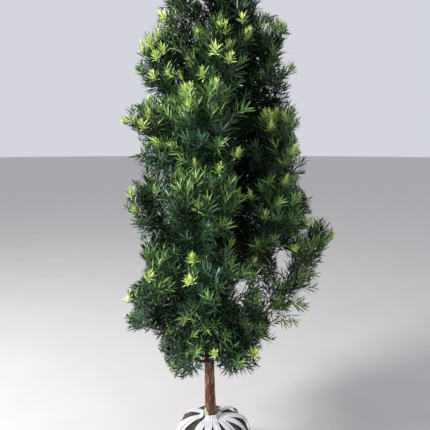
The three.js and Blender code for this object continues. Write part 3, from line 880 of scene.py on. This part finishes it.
def bark_finish(settings):
    finish = Finish("Sapling bark", 0.85, 0.25)
    strands = finish.grain(150, 6, 0.62, finish.stretched(1, 1, 0.14))
    patches = finish.grain(22, 3, 0.6, finish.stretched(1, 1, 0.3))
    plates = finish.ramp(
        strands, (0.30, settings.fissures), (0.44, shade(settings.plates, 0.75)), (0.56, settings.plates),
        (0.72, settings.weathered))
    old = finish.ramp(
        strands, (0.32, shade(settings.fissures, 1.4)), (0.5, settings.weathered),
        (0.75, shade(settings.weathered, 1.35)))
    colours = finish.blend(plates, old, finish.ramp(patches, (0.48, 0.0), (0.62, 1.0)))
    foot = finish.tones(strands, settings.foot, 0.5, 1, 0.35)
    near_foot = finish.range(finish.height(), BALL_TOP + 0.10, BALL_TOP, 0.0, 0.45)
    colours = finish.blend(colours, foot, near_foot)
    roughness = finish.range(patches, 0.3, 0.7, 0.75, 0.95)
    return finish.made(colours, strands, 0.7, 0.0015, Roughness=roughness)


def twig_finish(name, bark, grain_scale):
    finish = Finish(name, 0.7, 0.3)
    strands = finish.grain(grain_scale, 4, 0.6, finish.stretched(1, 1, 0.3))
    colours = finish.ramp(strands, (0.3, shade(bark, 0.5)), (0.5, bark), (0.7, shade(bark, 1.5)))
    return finish.made(colours, strands, 0.4, 0.0006)


def leaf_finish(name, green, gloss, shine):
    finish = Finish(name, gloss, shine)
    drift = finish.grain(9, 2, 0.5)
    flecks = finish.grain(210, 2, 0.5)
    toned = finish.tones(drift, green, 0.78, 1.22, 0.35, 0.65)
    flecked = finish.tones(flecks, green, 0.80, 1.20, 0.35, 0.65)
    colours = finish.blend(toned, flecked)
    roughness = finish.range(flecks, 0.3, 0.7, gloss - 0.06, gloss + 0.12)
    return finish.made(colours, flecks, 0.12, 0.0004, Roughness=roughness)


def soil_finish(settings):
    finish = Finish("Root ball soil", 0.95, 0.2)
    crumbs = finish.grain(130, 6, 0.7)
    clods = finish.clods(1 / settings.clod)
    patches = finish.grain(14, 3, 0.6)
    # Both colour ramps follow the crumbs of the relief: darker in its hollows, painted shade, and lighter on
    # the raised crumbs, painted light. The second, darker ramp comes in by patches.
    soil = finish.ramp(
        crumbs, (0.3, settings.darker_soil), (0.52, settings.soil), (0.75, shade(settings.soil, 1.7)))
    darker_soil = finish.ramp(crumbs, (0.3, shade(settings.darker_soil, 0.6)), (0.7, shade(settings.soil, 0.7)))
    colours = finish.blend(soil, darker_soil, finish.ramp(patches, (0.4, 0.0), (0.6, 1.0)))
    height = finish.blend(crumbs, clods, finish.range(patches, 0, 1, 0.4, 0.6))
    return finish.made(colours, height, 0.8, 0.004)


def strip_finish(name, film, soiled):
    finish = Finish(name, 0.42, 0.5)
    creases = finish.grain(90, 4, 0.6)
    stains = finish.grain(26, 4, 0.65)
    # Both film colours follow the creases of the relief: darker in their hollows, painted shade, and lighter
    # on the raised folds, painted highlight. Where the soiled colour comes in, by stains, it is real
    # soiling.
    clean = finish.tones(creases, film, 0.80, 1.08)
    dirty = finish.tones(creases, soiled, 0.7, 1)
    colours = finish.blend(clean, dirty, finish.ramp(stains, (0.56, 0.0), (0.70, 0.75)))
    roughness = finish.range(creases, 0.3, 0.7, 0.34, 0.55)
    return finish.made(colours, creases, 0.35, 0.0012, Roughness=roughness)


def floor_finish(settings):
    finish = Finish("Studio floor", 0.8, 0.2)
    mottle = finish.grain(3, 4, 0.6)
    finish.feed(finish.shader, {"Base Color": finish.tones(mottle, settings.floor, 0.97, 1.02)})
    return finish.material


def new_piece(name, shape):
    """An object from a bmesh, with the bmesh freed."""
    mesh = bpy.data.meshes.new(name)
    shape.to_mesh(mesh)
    shape.free()
    mesh.shade_smooth()
    return placed(name, mesh)


def barrel(shape, sides, rings):
    """A closed cylinder of radius 1 from -0.5 to 0.5, cut into rings. Returns its corners."""
    before = len(shape.verts)
    made = bmesh.ops.create_cone(
        shape, cap_ends=True, cap_tris=False, segments=sides, radius1=1, radius2=1, depth=1)
    upright = [edge for edge in {edge for corner in made["verts"] for edge in corner.link_edges}
               if abs(edge.verts[0].co.z - edge.verts[1].co.z) > 0.5]
    bmesh.ops.subdivide_edges(shape, edges=upright, cuts=rings - 1)
    return shape.verts[:][before:]


def limb(shape, point_at, radius_at, relief, sides, rings, crowd=1.0):
    """A cylinder bent along a line, with bark relief sunk into its sides."""
    for corner in barrel(shape, sides, rings):
        turn = math.atan2(corner.co.y, corner.co.x)
        rim = math.hypot(corner.co.x, corner.co.y)
        share = (corner.co.z + 0.5) ** crowd
        middle = point_at(share)
        step = 1e-3
        if share > step:
            ahead = unit(point_at(share + step) - point_at(share - step))
        else:
            ahead = unit(point_at(step) - middle)
        first = unit(np.cross((0.0, 1.0, 0.0) if abs(ahead[1]) < 0.9 else (1.0, 0.0, 0.0), ahead))
        radius = radius_at(share)
        out = rim * (radius - relief(turn, middle, radius))
        corner.co = middle + turned(first, np.cross(ahead, first), turn) * out


def bark_depth(settings):
    """How deep the bark is sunk at a place: upright fissures between plates that stand a little proud."""
    def depth(turn, middle, radius):
        across, up = settings.fissure_spacing * 2, settings.fissure_length
        place = Vector((
            (middle[0] + math.cos(turn) * radius) / across,
            (middle[1] + math.sin(turn) * radius) / across,
            middle[2] / up))
        fissure = max(0, 1 - abs(noise.noise(place * 1.6)) / 0.22)
        flakes = noise.noise(place * 0.8 + Vector((7, 3, 1)))
        fine = noise.noise(place * 5)
        size = settings.fissure_depth * min(1, radius / 0.02)
        return size * (fissure + 0.35 * flakes + 0.18 * fine)
    return depth


class SAPLING_OT_bark(bpy.types.Operator):
    """Make the trunk and the boughs with their fissured bark"""
    bl_idname = "sapling.bark"
    bl_label = "Trunk and boughs"

    def execute(self, context):
        settings = context.scene.sapling_bark
        material = bark_finish(settings)
        depth = bark_depth(settings)
        shape = bmesh.new()
        limb(shape, trunk_point, trunk_radius, depth, sides=56, rings=330, crowd=1.25)
        bmesh.ops.recalc_face_normals(shape, faces=shape.faces)
        trunk = dress(new_piece("trunk_bark", shape), material)
        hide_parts("trunk")

        shape = bmesh.new()
        for mass in plan_masses():
            if not mass.has_bough:
                continue
            span = np.linalg.norm(mass.point(BOUGH_SHARE) - mass.point(0))

            def radius(share, span=span):
                from_trunk = max(0, share * span - TRUNK_FOOT_RADIUS * 0.7)
                return bough_radius(share * BOUGH_SHARE) + settings.collar * math.exp(-from_trunk / 0.012)

            def middle(share, mass=mass):
                return mass.point(share * BOUGH_SHARE)

            limb(shape, middle, radius, depth, sides=18, rings=48)
        bmesh.ops.recalc_face_normals(shape, faces=shape.faces)
        boughs = dress(new_piece("bough_bark", shape), material)
        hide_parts(*BOUGH_NODES)
        return {"FINISHED"}


class SAPLING_OT_twigs(bpy.types.Operator):
    """Make the stems, twigs and young shoots inside the masses of foliage"""
    bl_idname = "sapling.twigs"
    bl_label = "Twigs and shoots"

    def execute(self, context):
        settings = context.scene.sapling_crown
        sprigs = crown_of(settings)
        finishes = {
            "twig": twig_finish("Twig bark", settings.twig_bark, 120),
            "shoot": twig_finish("Green shoots", settings.shoot_bark, 160),
        }
        for kind, name, sides in (("twig", "twigs", 5), ("shoot", "shoots", 3)):
            mine = [sprig for sprig in sprigs if sprig.kind == kind]
            if not mine:
                raise RuntimeError(f"The crown has no sprigs of kind {kind}")
            steps = max(len(sprig.line) for sprig in mine)
            lines = np.array([even_line(sprig.line, steps) for sprig in mine])
            corners, faces = tubes(lines, np.array([sprig.radii for sprig in mine]), sides)
            piece = dress(joined_piece(name, corners, faces), finishes[kind])
            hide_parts(*FOLIAGE_NODES)
        return {"FINISHED"}


def even_line(line, count):
    """A line with its points counted up to `count`."""
    if len(line) == count:
        return line
    old, new = np.linspace(0, 1, len(line)), np.linspace(0, 1, count)
    return np.array([np.interp(new, old, line[:, axis]) for axis in range(3)]).T


def leaves_on(sprig, spacing, leafy, leaf_length):
    """Where the leaves of a sprig stand: rows of root, direction, side, facing and length."""
    random = Seeded(sprig.seed * 7 + 3)
    gaps = np.linalg.norm(np.diff(sprig.line, axis=0), axis=1)
    total = gaps.sum()
    at = np.concatenate(([0], np.cumsum(gaps)))
    phase = 360 * random()
    dense = min(leafy, total * 0.92)
    back, rows, k = 0.001, [], 0
    while back < total * 0.94:
        share = min(1, back / leafy)
        station = total - back
        low = min(len(gaps) - 1, int(np.searchsorted(at, station, side="right")) - 1)
        root = lerp(sprig.line[low], sprig.line[low + 1], (station - at[low]) / gaps[low])
        axis = unit(sprig.line[low + 1] - sprig.line[low])
        tilt = lerp(*LEAF_TILTS, share ** 0.7) + random(-7, 7)
        direction = unit(leaning(axis, tilt, phase + k * GOLDEN_TURN + random(-12, 12)) + UP * LEAF_RISE)
        side = unit(np.cross(direction, axis))
        roll = math.radians(random(-LEAF_ROLL, LEAF_ROLL))
        facing = np.cross(side, direction)
        side, facing = turned(side, facing, roll), turned(facing, side, -roll)
        size = leaf_length * lerp(TIP_LEAF_SIZE, 1.0, min(1, share * 3.2)) * random(*LEAF_SIZES)
        rows.append((root, direction, side, facing, size))
        back += spacing * (0.55 + 0.65 * share) * (1 if back < dense else 2.4) * random(0.8, 1.2)
        k += 1
    return rows


def blades(rows, template, width, arch):
    """The corners of many leaves, from rows of root, direction, side, facing and length."""
    roots, directions, sides, facings = (np.array([row[i] for row in rows])[:, None] for i in range(4))
    sizes = np.array([row[4] for row in rows])[:, None, None]
    across, along, fold = (template[None, :, i, None] for i in range(3))
    bend = -arch[:, None, None] * along ** 2 * sizes
    return (roots + sides * across * width + directions * along * sizes
            + facings * (fold * width * 0.5 + bend))


class SAPLING_OT_leaves(bpy.types.Operator):
    """Make the leaves, tinted by spray and by painted light and shade, with the new growth at the tips"""
    bl_idname = "sapling.leaves"
    bl_label = "Leaves"

    def execute(self, context):
        settings = context.scene.sapling_leaves
        template, faces = leaf_template()
        rows = {tint: [] for tint in LEAF_GLOSS}
        for sprig in crown_of(context.scene.sapling_crown):
            if not sprig.leafy:
                continue
            tint, in_flush = tint_of(sprig, settings.flush_share)
            apart = is_slim(sprig.mass) and sprig.line[-1][2] - BALL_TOP > SLIM_FROM
            spacing = settings.leaf_spacing * (SLIM_LEAF_SPACING if apart else 1)
            grown = leaves_on(sprig, spacing, settings.leafy, settings.leaf_length)
            front = int(len(grown) * TIP_LEAVES)
            rows[tint] += fitting(sprig.mass, grown[:front])
            rows[BEHIND[tint]] += fitting(sprig.mass, grown[front:])
            if in_flush:
                rows["flush"] += fitting(sprig.mass, flush_leaves(sprig, settings.flush_length))
        for tint, gloss in LEAF_GLOSS.items():
            if not rows[tint]:
                raise RuntimeError(f"No leaves are tinted {tint}")
            material = leaf_finish(f"Leaves {tint}", getattr(settings, tint), *gloss)
            width = settings.leaf_width * (0.9 if tint == "flush" else 1)
            random = Seeded(len(rows[tint]))
            arch = np.array([random(-0.04, 0.16) for _ in rows[tint]])
            corners = blades(rows[tint], template, width, arch)
            most = PIECE_TRIANGLES // len(faces)
            for part, start in enumerate(range(0, len(corners), most)):
                name = f"leaves_{tint}_{part + 1}"
                piece = dress(joined_piece(name, corners[start:start + most], faces), material)
                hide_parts(*FOLIAGE_NODES)
        return {"FINISHED"}


def is_slim(mass):
    return mass.plump < SLIM_PLUMP


def tint_of(sprig, flush_share):
    """A sprig's tint, dealt out by spray and by how lit it is as painted light and shade, and whether its
    tip is in new growth.
    """
    random, own = Seeded(sprig.spray * 13 + 5), Seeded(sprig.seed * 17 + 11)
    tip = Vector(sprig.line[-1])
    height = (tip.z - BALL_TOP) / TRUNK_HEIGHT
    own()
    lit = (LIT_BY_SPRAY * random() + LIT_BY_SPRIG * own() + LIT_BY_DEPTH * (sprig.depth - MEAN_DEPTH)
           + LIT_BY_HEIGHT * (height - MEAN_HEIGHT))
    lit += LIT_PATCHES * noise.noise(tip * 9) + LIT_BY_PLACE * (math.hypot(tip.x, tip.y) - MEAN_PLACE)
    dull = smooth_step(0.15, 0.07, abs(tip.x - DULL_MIDDLE)) * smooth_step(0.95, 1.02, height)
    lit -= DULL_DARKER * dull
    if is_slim(sprig.mass):
        lit += lerp(*SLIM_LIT, smooth_step(0.55, 0.9, height))
    # Bluish paints the reflection of the pale surround in glossy leaves; it goes to moderately lit sprigs,
    # fewer towards the top.
    bluish_to = lerp(*BLUISH_TO, smooth_step(0.45, 0.9, height))
    tint = "dark" if lit < DARK_TO else "bluish" if lit < bluish_to else "mid" if lit < MID_TO else "fresh"
    flush = flush_share * lerp(*FLUSH_CROWDING, smooth_step(0.45, 1.0, height))
    flush *= max(0.2, 1 + 3 * noise.noise(tip * 7))
    flush *= 1 - DULL_BARE * dull
    return tint, sprig.depth > FLUSH_DEPTH and own() < flush


def flush_leaves(sprig, leaf_length):
    """The short upright leaves of this year's growth, on from the tip of a sprig."""
    random = Seeded(sprig.seed * 19 + 2)
    axis = unit(unit(sprig.line[-1] - sprig.line[-2]) + UP * 0.35)
    phase = 360 * random()
    count = int(random(24, 34))
    rows = []
    for k in range(count):
        share = k / (count - 1)
        root = sprig.line[-1] + axis * lerp(-0.006, 0.016, share)
        direction = leaning(axis, lerp(72, 8, share) + random(-9, 9), phase + k * GOLDEN_TURN)
        side = unit(np.cross(direction, axis))
        rows.append((root, direction, side, np.cross(side, direction), leaf_length * random(0.7, 1.2)))
    return rows


def fitting(mass, rows):
    """The leaves that keep to the mass's reach and the crown's outline, shortened where that is enough."""
    if not rows:
        return []
    roots, directions, sizes = (np.array([row[i] for row in rows]) for i in (0, 1, 4))
    fits = []
    for scale in (1.0, SHORTENED):
        tips = roots + directions * sizes[:, None] * scale
        within = (mass.egg(tips) <= LEAF_REACH) | (mass.egg(roots) > LEAF_REACH - 0.1)
        outside = in_opening(tips, LEAF_IN_OPENING) | below_hem(tips) | past_border(tips, LEAF_PAST)
        fits.append(within & ~outside)
    kept = []
    for row, whole, shortened in zip(rows, *fits):
        fit = row if whole else (*row[:4], row[4] * SHORTENED)
        if (whole or shortened) and in_box(fit[0] + fit[1] * fit[4], BOX_PAST):
            kept.append(fit)
    return kept


def ball_radius(turn, height):
    rise = abs((height - BALL_MIDDLE) / BALL_HALF_HEIGHT) ** BALL_SQUARENESS
    lumps = BALL_LOPSIDE * math.cos(turn)
    lumps += BALL_LUMP * math.sin(3 * turn + 1)
    lumps += BALL_LUMP * math.sin(5 * turn)
    return BALL_RADIUS * (1 - rise) ** (1 / BALL_SQUARENESS) * (1 + lumps)


class SAPLING_OT_root_ball(bpy.types.Operator):
    """Make the ball of soil with its clods"""
    bl_idname = "sapling.root_ball"
    bl_label = "Root ball"

    def execute(self, context):
        settings = context.scene.sapling_ball
        shape = bmesh.new()
        under, side, top = 14, 76, 22
        outline = [(ring / under, 0.0) for ring in range(under)]
        outline += [(1.0, BALL_TOP * (1 - math.cos(math.pi * ring / side)) / 2) for ring in range(side + 1)]
        outline += [(1 - ring / top, BALL_TOP) for ring in range(1, top + 1)]
        corners = [shape.verts.new((out, 0, height)) for out, height in outline]
        edges = [shape.edges.new(pair) for pair in zip(corners, corners[1:])]
        bmesh.ops.spin(
            shape, geom=corners + edges, axis=(0, 0, 1), cent=(0, 0, 0), dvec=(0, 0, 0),
            angle=2 * math.pi, steps=150, use_merge=True)
        for corner in shape.verts:
            turn = math.atan2(corner.co.y, corner.co.x)
            out = math.hypot(corner.co.x, corner.co.y) * ball_radius(turn, corner.co.z)
            corner.co.x, corner.co.y = out * math.cos(turn), out * math.sin(turn)
        bmesh.ops.remove_doubles(shape, verts=shape.verts, dist=1e-5)
        bmesh.ops.recalc_face_normals(shape, faces=shape.faces)
        shape.normal_update()
        moves = []
        for corner in shape.verts:
            if corner.co.z < 0.001:
                continue
            place = corner.co / settings.clod
            clods = noise.noise(place) + 0.5 * noise.noise(place * 2.3)
            sunk = settings.relief * (0.35 - 0.5 * clods)
            moves.append((corner, corner.normal * -max(0, sunk)))
        for corner, move in moves:
            corner.co += move
            corner.co.z = max(0, corner.co.z)
        ball = dress(new_piece("soil_ball", shape), soil_finish(settings))
        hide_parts("root_ball")
        return {"FINISHED"}


@lru_cache(maxsize=None)
def strip_run(turn):
    """The line that a strip follows from the trunk to its foot: shares of it, with places out and up."""
    angle = math.radians(turn)
    neck = [(STRIP_NECK_RADIUS - 0.006 + 0.03 * rise ** 2, BALL_TOP + 0.026 * (1 - rise) ** 2 + 0.001)
            for rise in np.linspace(0, 1, 10)]
    edge = ball_radius(angle, BALL_TOP)
    top = [(lerp(neck[-1][0], edge, share), BALL_TOP) for share in np.linspace(0.1, 0.95, 5)]
    heights = BALL_TOP - (BALL_TOP - STRIP_FOOT) * (1 - np.cos(np.linspace(0.02, 1, 40) * math.pi / 2))
    side = [(ball_radius(angle, height), height) for height in heights]
    places = np.array(neck + top + side)
    for _ in range(3):
        places[1:-1] = (places[:-2] + 2 * places[1:-1] + places[2:]) / 4
    lengths = np.concatenate(([0], np.cumsum(np.linalg.norm(np.diff(places, axis=0), axis=1))))
    return lengths / lengths[-1], places


def around(angle, out, height):
    return Vector((math.cos(angle) * out, math.sin(angle) * out, height))


def strip_place(turn, aside, along, lift):
    """Where a strip's point lies: `aside` from its middle, at a share `along` it and `lift` off the ball."""
    shares, places = strip_run(turn)
    behind, (out, height), ahead = (
        [float(np.interp(at, shares, places[:, i])) for i in range(2)]
        for at in (max(0, along - 0.01), along, min(1, along + 0.01)))
    slope = math.atan2(behind[1] - ahead[1], ahead[0] - behind[0])
    middle = math.radians(turn)
    angle = middle + aside / max(out, 0.03)
    level = min(height, LUMPS_TO)
    out += lift * math.sin(slope) + ball_radius(angle, level) - ball_radius(middle, level)
    return around(angle, out, height + lift * math.cos(slope))


def rough(*place):
    return noise.noise(Vector(place))


def film_finger(shape, number, turn, width, share, offset, settings):
    """One finger of a strip: full at the neck, parting from its neighbours over the ball's shoulder."""
    puff = settings.puff * STRIP_PUFFS.get(number, TAUT_PUFF)
    before = len(shape.verts)
    columns = max(5, round(width * share / STRIP_MESH))
    bmesh.ops.create_grid(shape, x_segments=columns, y_segments=STRIP_ROWS, size=0.5)
    seed = number * 3.7 + offset * 5
    waves = math.pi * 2 * max(1, round(width * share / FOLD_SPACING))
    for corner in shape.verts[:][before:]:
        u, v = corner.co.x, corner.co.y + 0.5
        parted = smooth_step(*STRIP_PARTS, v)
        neck_width = STRIP_NECK_WIDTH * lerp(1.5, 2.3, smooth_step(0.0, 0.25, v))
        full_width = lerp(neck_width, width, smooth_step(*STRIP_WIDENS, v))
        ragged = 1 + 0.22 * rough(seed, v * 6, math.copysign(3, u)) - 0.22 * parted
        drift = 0.006 * parted * rough(seed, v * 2.5, 9)
        folds = math.cos(u * waves + 1.6 * rough(seed, v * 5, 1))
        lift = 0.0018 + 0.0005 * (number % 3) + settings.crinkle * (0.5 + 0.5 * folds) * lerp(1.3, 0.45, v)
        lift += settings.crinkle * 0.8 * rough(u * 5 + seed, v * 11, seed)
        lift += puff * math.exp(-((v - PUFF_AT) / PUFF_SPREAD) ** 2) * (1 + 0.3 * rough(seed, v * 4, 4))
        aside = offset * full_width + drift + u * full_width * share * ragged
        corner.co = strip_place(turn, aside, v, lift)


class SAPLING_OT_strips(bpy.types.Operator):
    """Make the crinkled wrapping strips and the tie that gathers them round the trunk"""
    bl_idname = "sapling.strips"
    bl_label = "Wrapping strips"

    def execute(self, context):
        settings = context.scene.sapling_strips
        material = strip_finish("Wrapping strips", settings.film, settings.soiled)
        for number, (turn, width) in enumerate(STRIPS, 1):
            shape = bmesh.new()
            fingers = STRIP_FINGERS.get(number, (1.0,))
            reached = -0.5
            for share in fingers:
                film_finger(shape, number, turn, width, share, reached + share / 2, settings)
                reached += share
            bmesh.ops.recalc_face_normals(shape, faces=shape.faces)
            strip = dress(new_piece(f"film_strip_{number}", shape), material)
            wall = strip.modifiers.new("wall", "SOLIDIFY")
            wall.thickness = settings.thickness
            wall.offset = 0
            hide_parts(f"strip_{number}")
        knot = strip_finish("Knotted tie", settings.knot, settings.soiled)
        tie = dress(new_piece("film_tie", tie_shape()), knot)
        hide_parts("tie")
        return {"FINISHED"}


def twisted_band(shape, places, thick, twist, seed):
    """A bunched band along a line, its section turning as it goes."""
    rings = []
    for k, place in enumerate(places):
        ahead = (places[min(k + 1, len(places) - 1)] - places[max(k - 1, 0)]).normalized()
        first = ahead.cross(Vector((0.2, 0.3, 1))).normalized()
        second = ahead.cross(first)
        share = k / (len(places) - 1)
        made = bmesh.ops.create_circle(shape, cap_ends=k in (0, len(places) - 1), segments=12, radius=1)
        for corner in made["verts"]:
            turn = math.atan2(corner.co.y, corner.co.x) + twist * share
            bulge = 1 + 0.28 * math.cos(3 * (turn - twist * share)) + 0.3 * rough(seed, share * 14, turn)
            size = thick * bulge * min(1, 0.35 + 4 * min(share, 1 - share))
            corner.co = place + turned(first, second, turn) * size
        edges = {edge for corner in made["verts"] for edge in corner.link_edges}
        rings.append({edge for edge in edges if len(edge.link_faces) < 2})
    for low, high in zip(rings, rings[1:]):
        bmesh.ops.bridge_loops(shape, edges=list(low | high))


def tie_shape():
    """A twisted band round the foot of the trunk, and its knotted end that climbs the trunk's left front."""
    shape = bmesh.new()
    band = trunk_radius(0.010) + 0.004
    turns = np.radians(np.linspace(218, 218 + 352, 64))
    ring = [around(turn, band, BALL_TOP + 0.021 + 0.003 * math.sin(2 * turn)) for turn in turns]
    twisted_band(shape, ring, 0.0040, 20, 1)
    for turn, height, thick in ((214, 0.050, 0.0055), (232, 0.034, 0.0045)):
        climbing = []
        for share in np.linspace(0, 1, 16):
            out = trunk_radius((0.012 + height * share) / TRUNK_HEIGHT) + 0.0045 + 0.006 * share ** 2
            angle = math.radians(turn + 14 * math.sin(share * 3))
            climbing.append(around(angle, out, BALL_TOP + 0.012 + height * share))
        twisted_band(shape, climbing, thick, 5, turn)
    bmesh.ops.recalc_face_normals(shape, faces=shape.faces)
    return shape


class SAPLING_OT_stage(bpy.types.Operator):
    """Set the floor, the soft lights and the camera"""
    bl_idname = "sapling.stage"
    bl_label = "Stage"

    def execute(self, context):
        settings = context.scene.sapling_stage
        scene = context.scene
        scene.view_settings.view_transform = "Standard"
        shape = bmesh.new()
        bmesh.ops.create_circle(shape, cap_ends=True, segments=64, radius=60)
        floor = new_piece("floor", shape)
        floor.data.materials.append(floor_finish(settings))

        world = bpy.data.worlds.new("Soft surround")
        world.use_nodes = True
        surround = world.node_tree.nodes["Background"]
        surround.inputs["Color"].default_value = (*settings.sky, 1)
        surround.inputs["Strength"].default_value = settings.sky_strength
        scene.world = world

        for name, (place, size, tint) in LIGHTS.items():
            lamp = bpy.data.lights.new(name, "AREA")
            lamp.energy = getattr(settings, f"{name}_watts")
            lamp.size = size
            lamp.color = tint
            light = placed(name, lamp)
            light.location = place
            aim = Vector(LIGHTS_AIM) - light.location
            light.rotation_euler = aim.to_track_quat("-Z", "Y").to_euler()

        lens = bpy.data.cameras.new("camera")
        lens.sensor_width = 36
        lens.lens = lens.sensor_width * CAMERA_FOCAL_PIXELS / PICTURE_PIXELS
        camera = placed("camera", lens)
        camera.location = CAMERA_PLACE
        camera.rotation_euler = (math.radians(CAMERA_PITCH), 0, 0)
        scene.camera = camera
        return {"FINISHED"}


class SAPLING_PT_pieces(bpy.types.Panel):
    bl_label = "Strapped Sapling"
    bl_idname = "SAPLING_PT_pieces"
    bl_space_type = "VIEW_3D"
    bl_region_type = "UI"
    bl_category = "Sapling"

    def draw(self, context):
        for operator, _, settings in STEPS:
            column = self.layout.column(align=True)
            column.operator(operator.bl_idname)
            group = getattr(context.scene, settings)
            for prop in group.bl_rna.properties:
                if prop.identifier not in ("rna_type", "name"):
                    column.prop(group, prop.identifier)


STEPS = (
    (SAPLING_OT_bark, BarkSettings, "sapling_bark"),
    (SAPLING_OT_twigs, CrownSettings, "sapling_crown"),
    (SAPLING_OT_leaves, LeafSettings, "sapling_leaves"),
    (SAPLING_OT_root_ball, BallSettings, "sapling_ball"),
    (SAPLING_OT_strips, StripSettings, "sapling_strips"),
    (SAPLING_OT_stage, StageSettings, "sapling_stage"),
)


def register():
    for operator, group, name in STEPS:
        bpy.utils.register_class(group)
        setattr(bpy.types.Scene, name, PointerProperty(type=group))
        bpy.utils.register_class(operator)
    bpy.utils.register_class(SAPLING_PT_pieces)


def unregister():
    bpy.utils.unregister_class(SAPLING_PT_pieces)
    for operator, group, name in reversed(STEPS):
        bpy.utils.unregister_class(operator)
        delattr(bpy.types.Scene, name)
        bpy.utils.unregister_class(group)


def main():
    register()
    bpy.ops.sapling.bark()
    bpy.ops.sapling.twigs()
    bpy.ops.sapling.leaves()
    bpy.ops.sapling.root_ball()
    bpy.ops.sapling.strips()
    bpy.ops.sapling.stage()


if __name__ == "__main__":
    main()
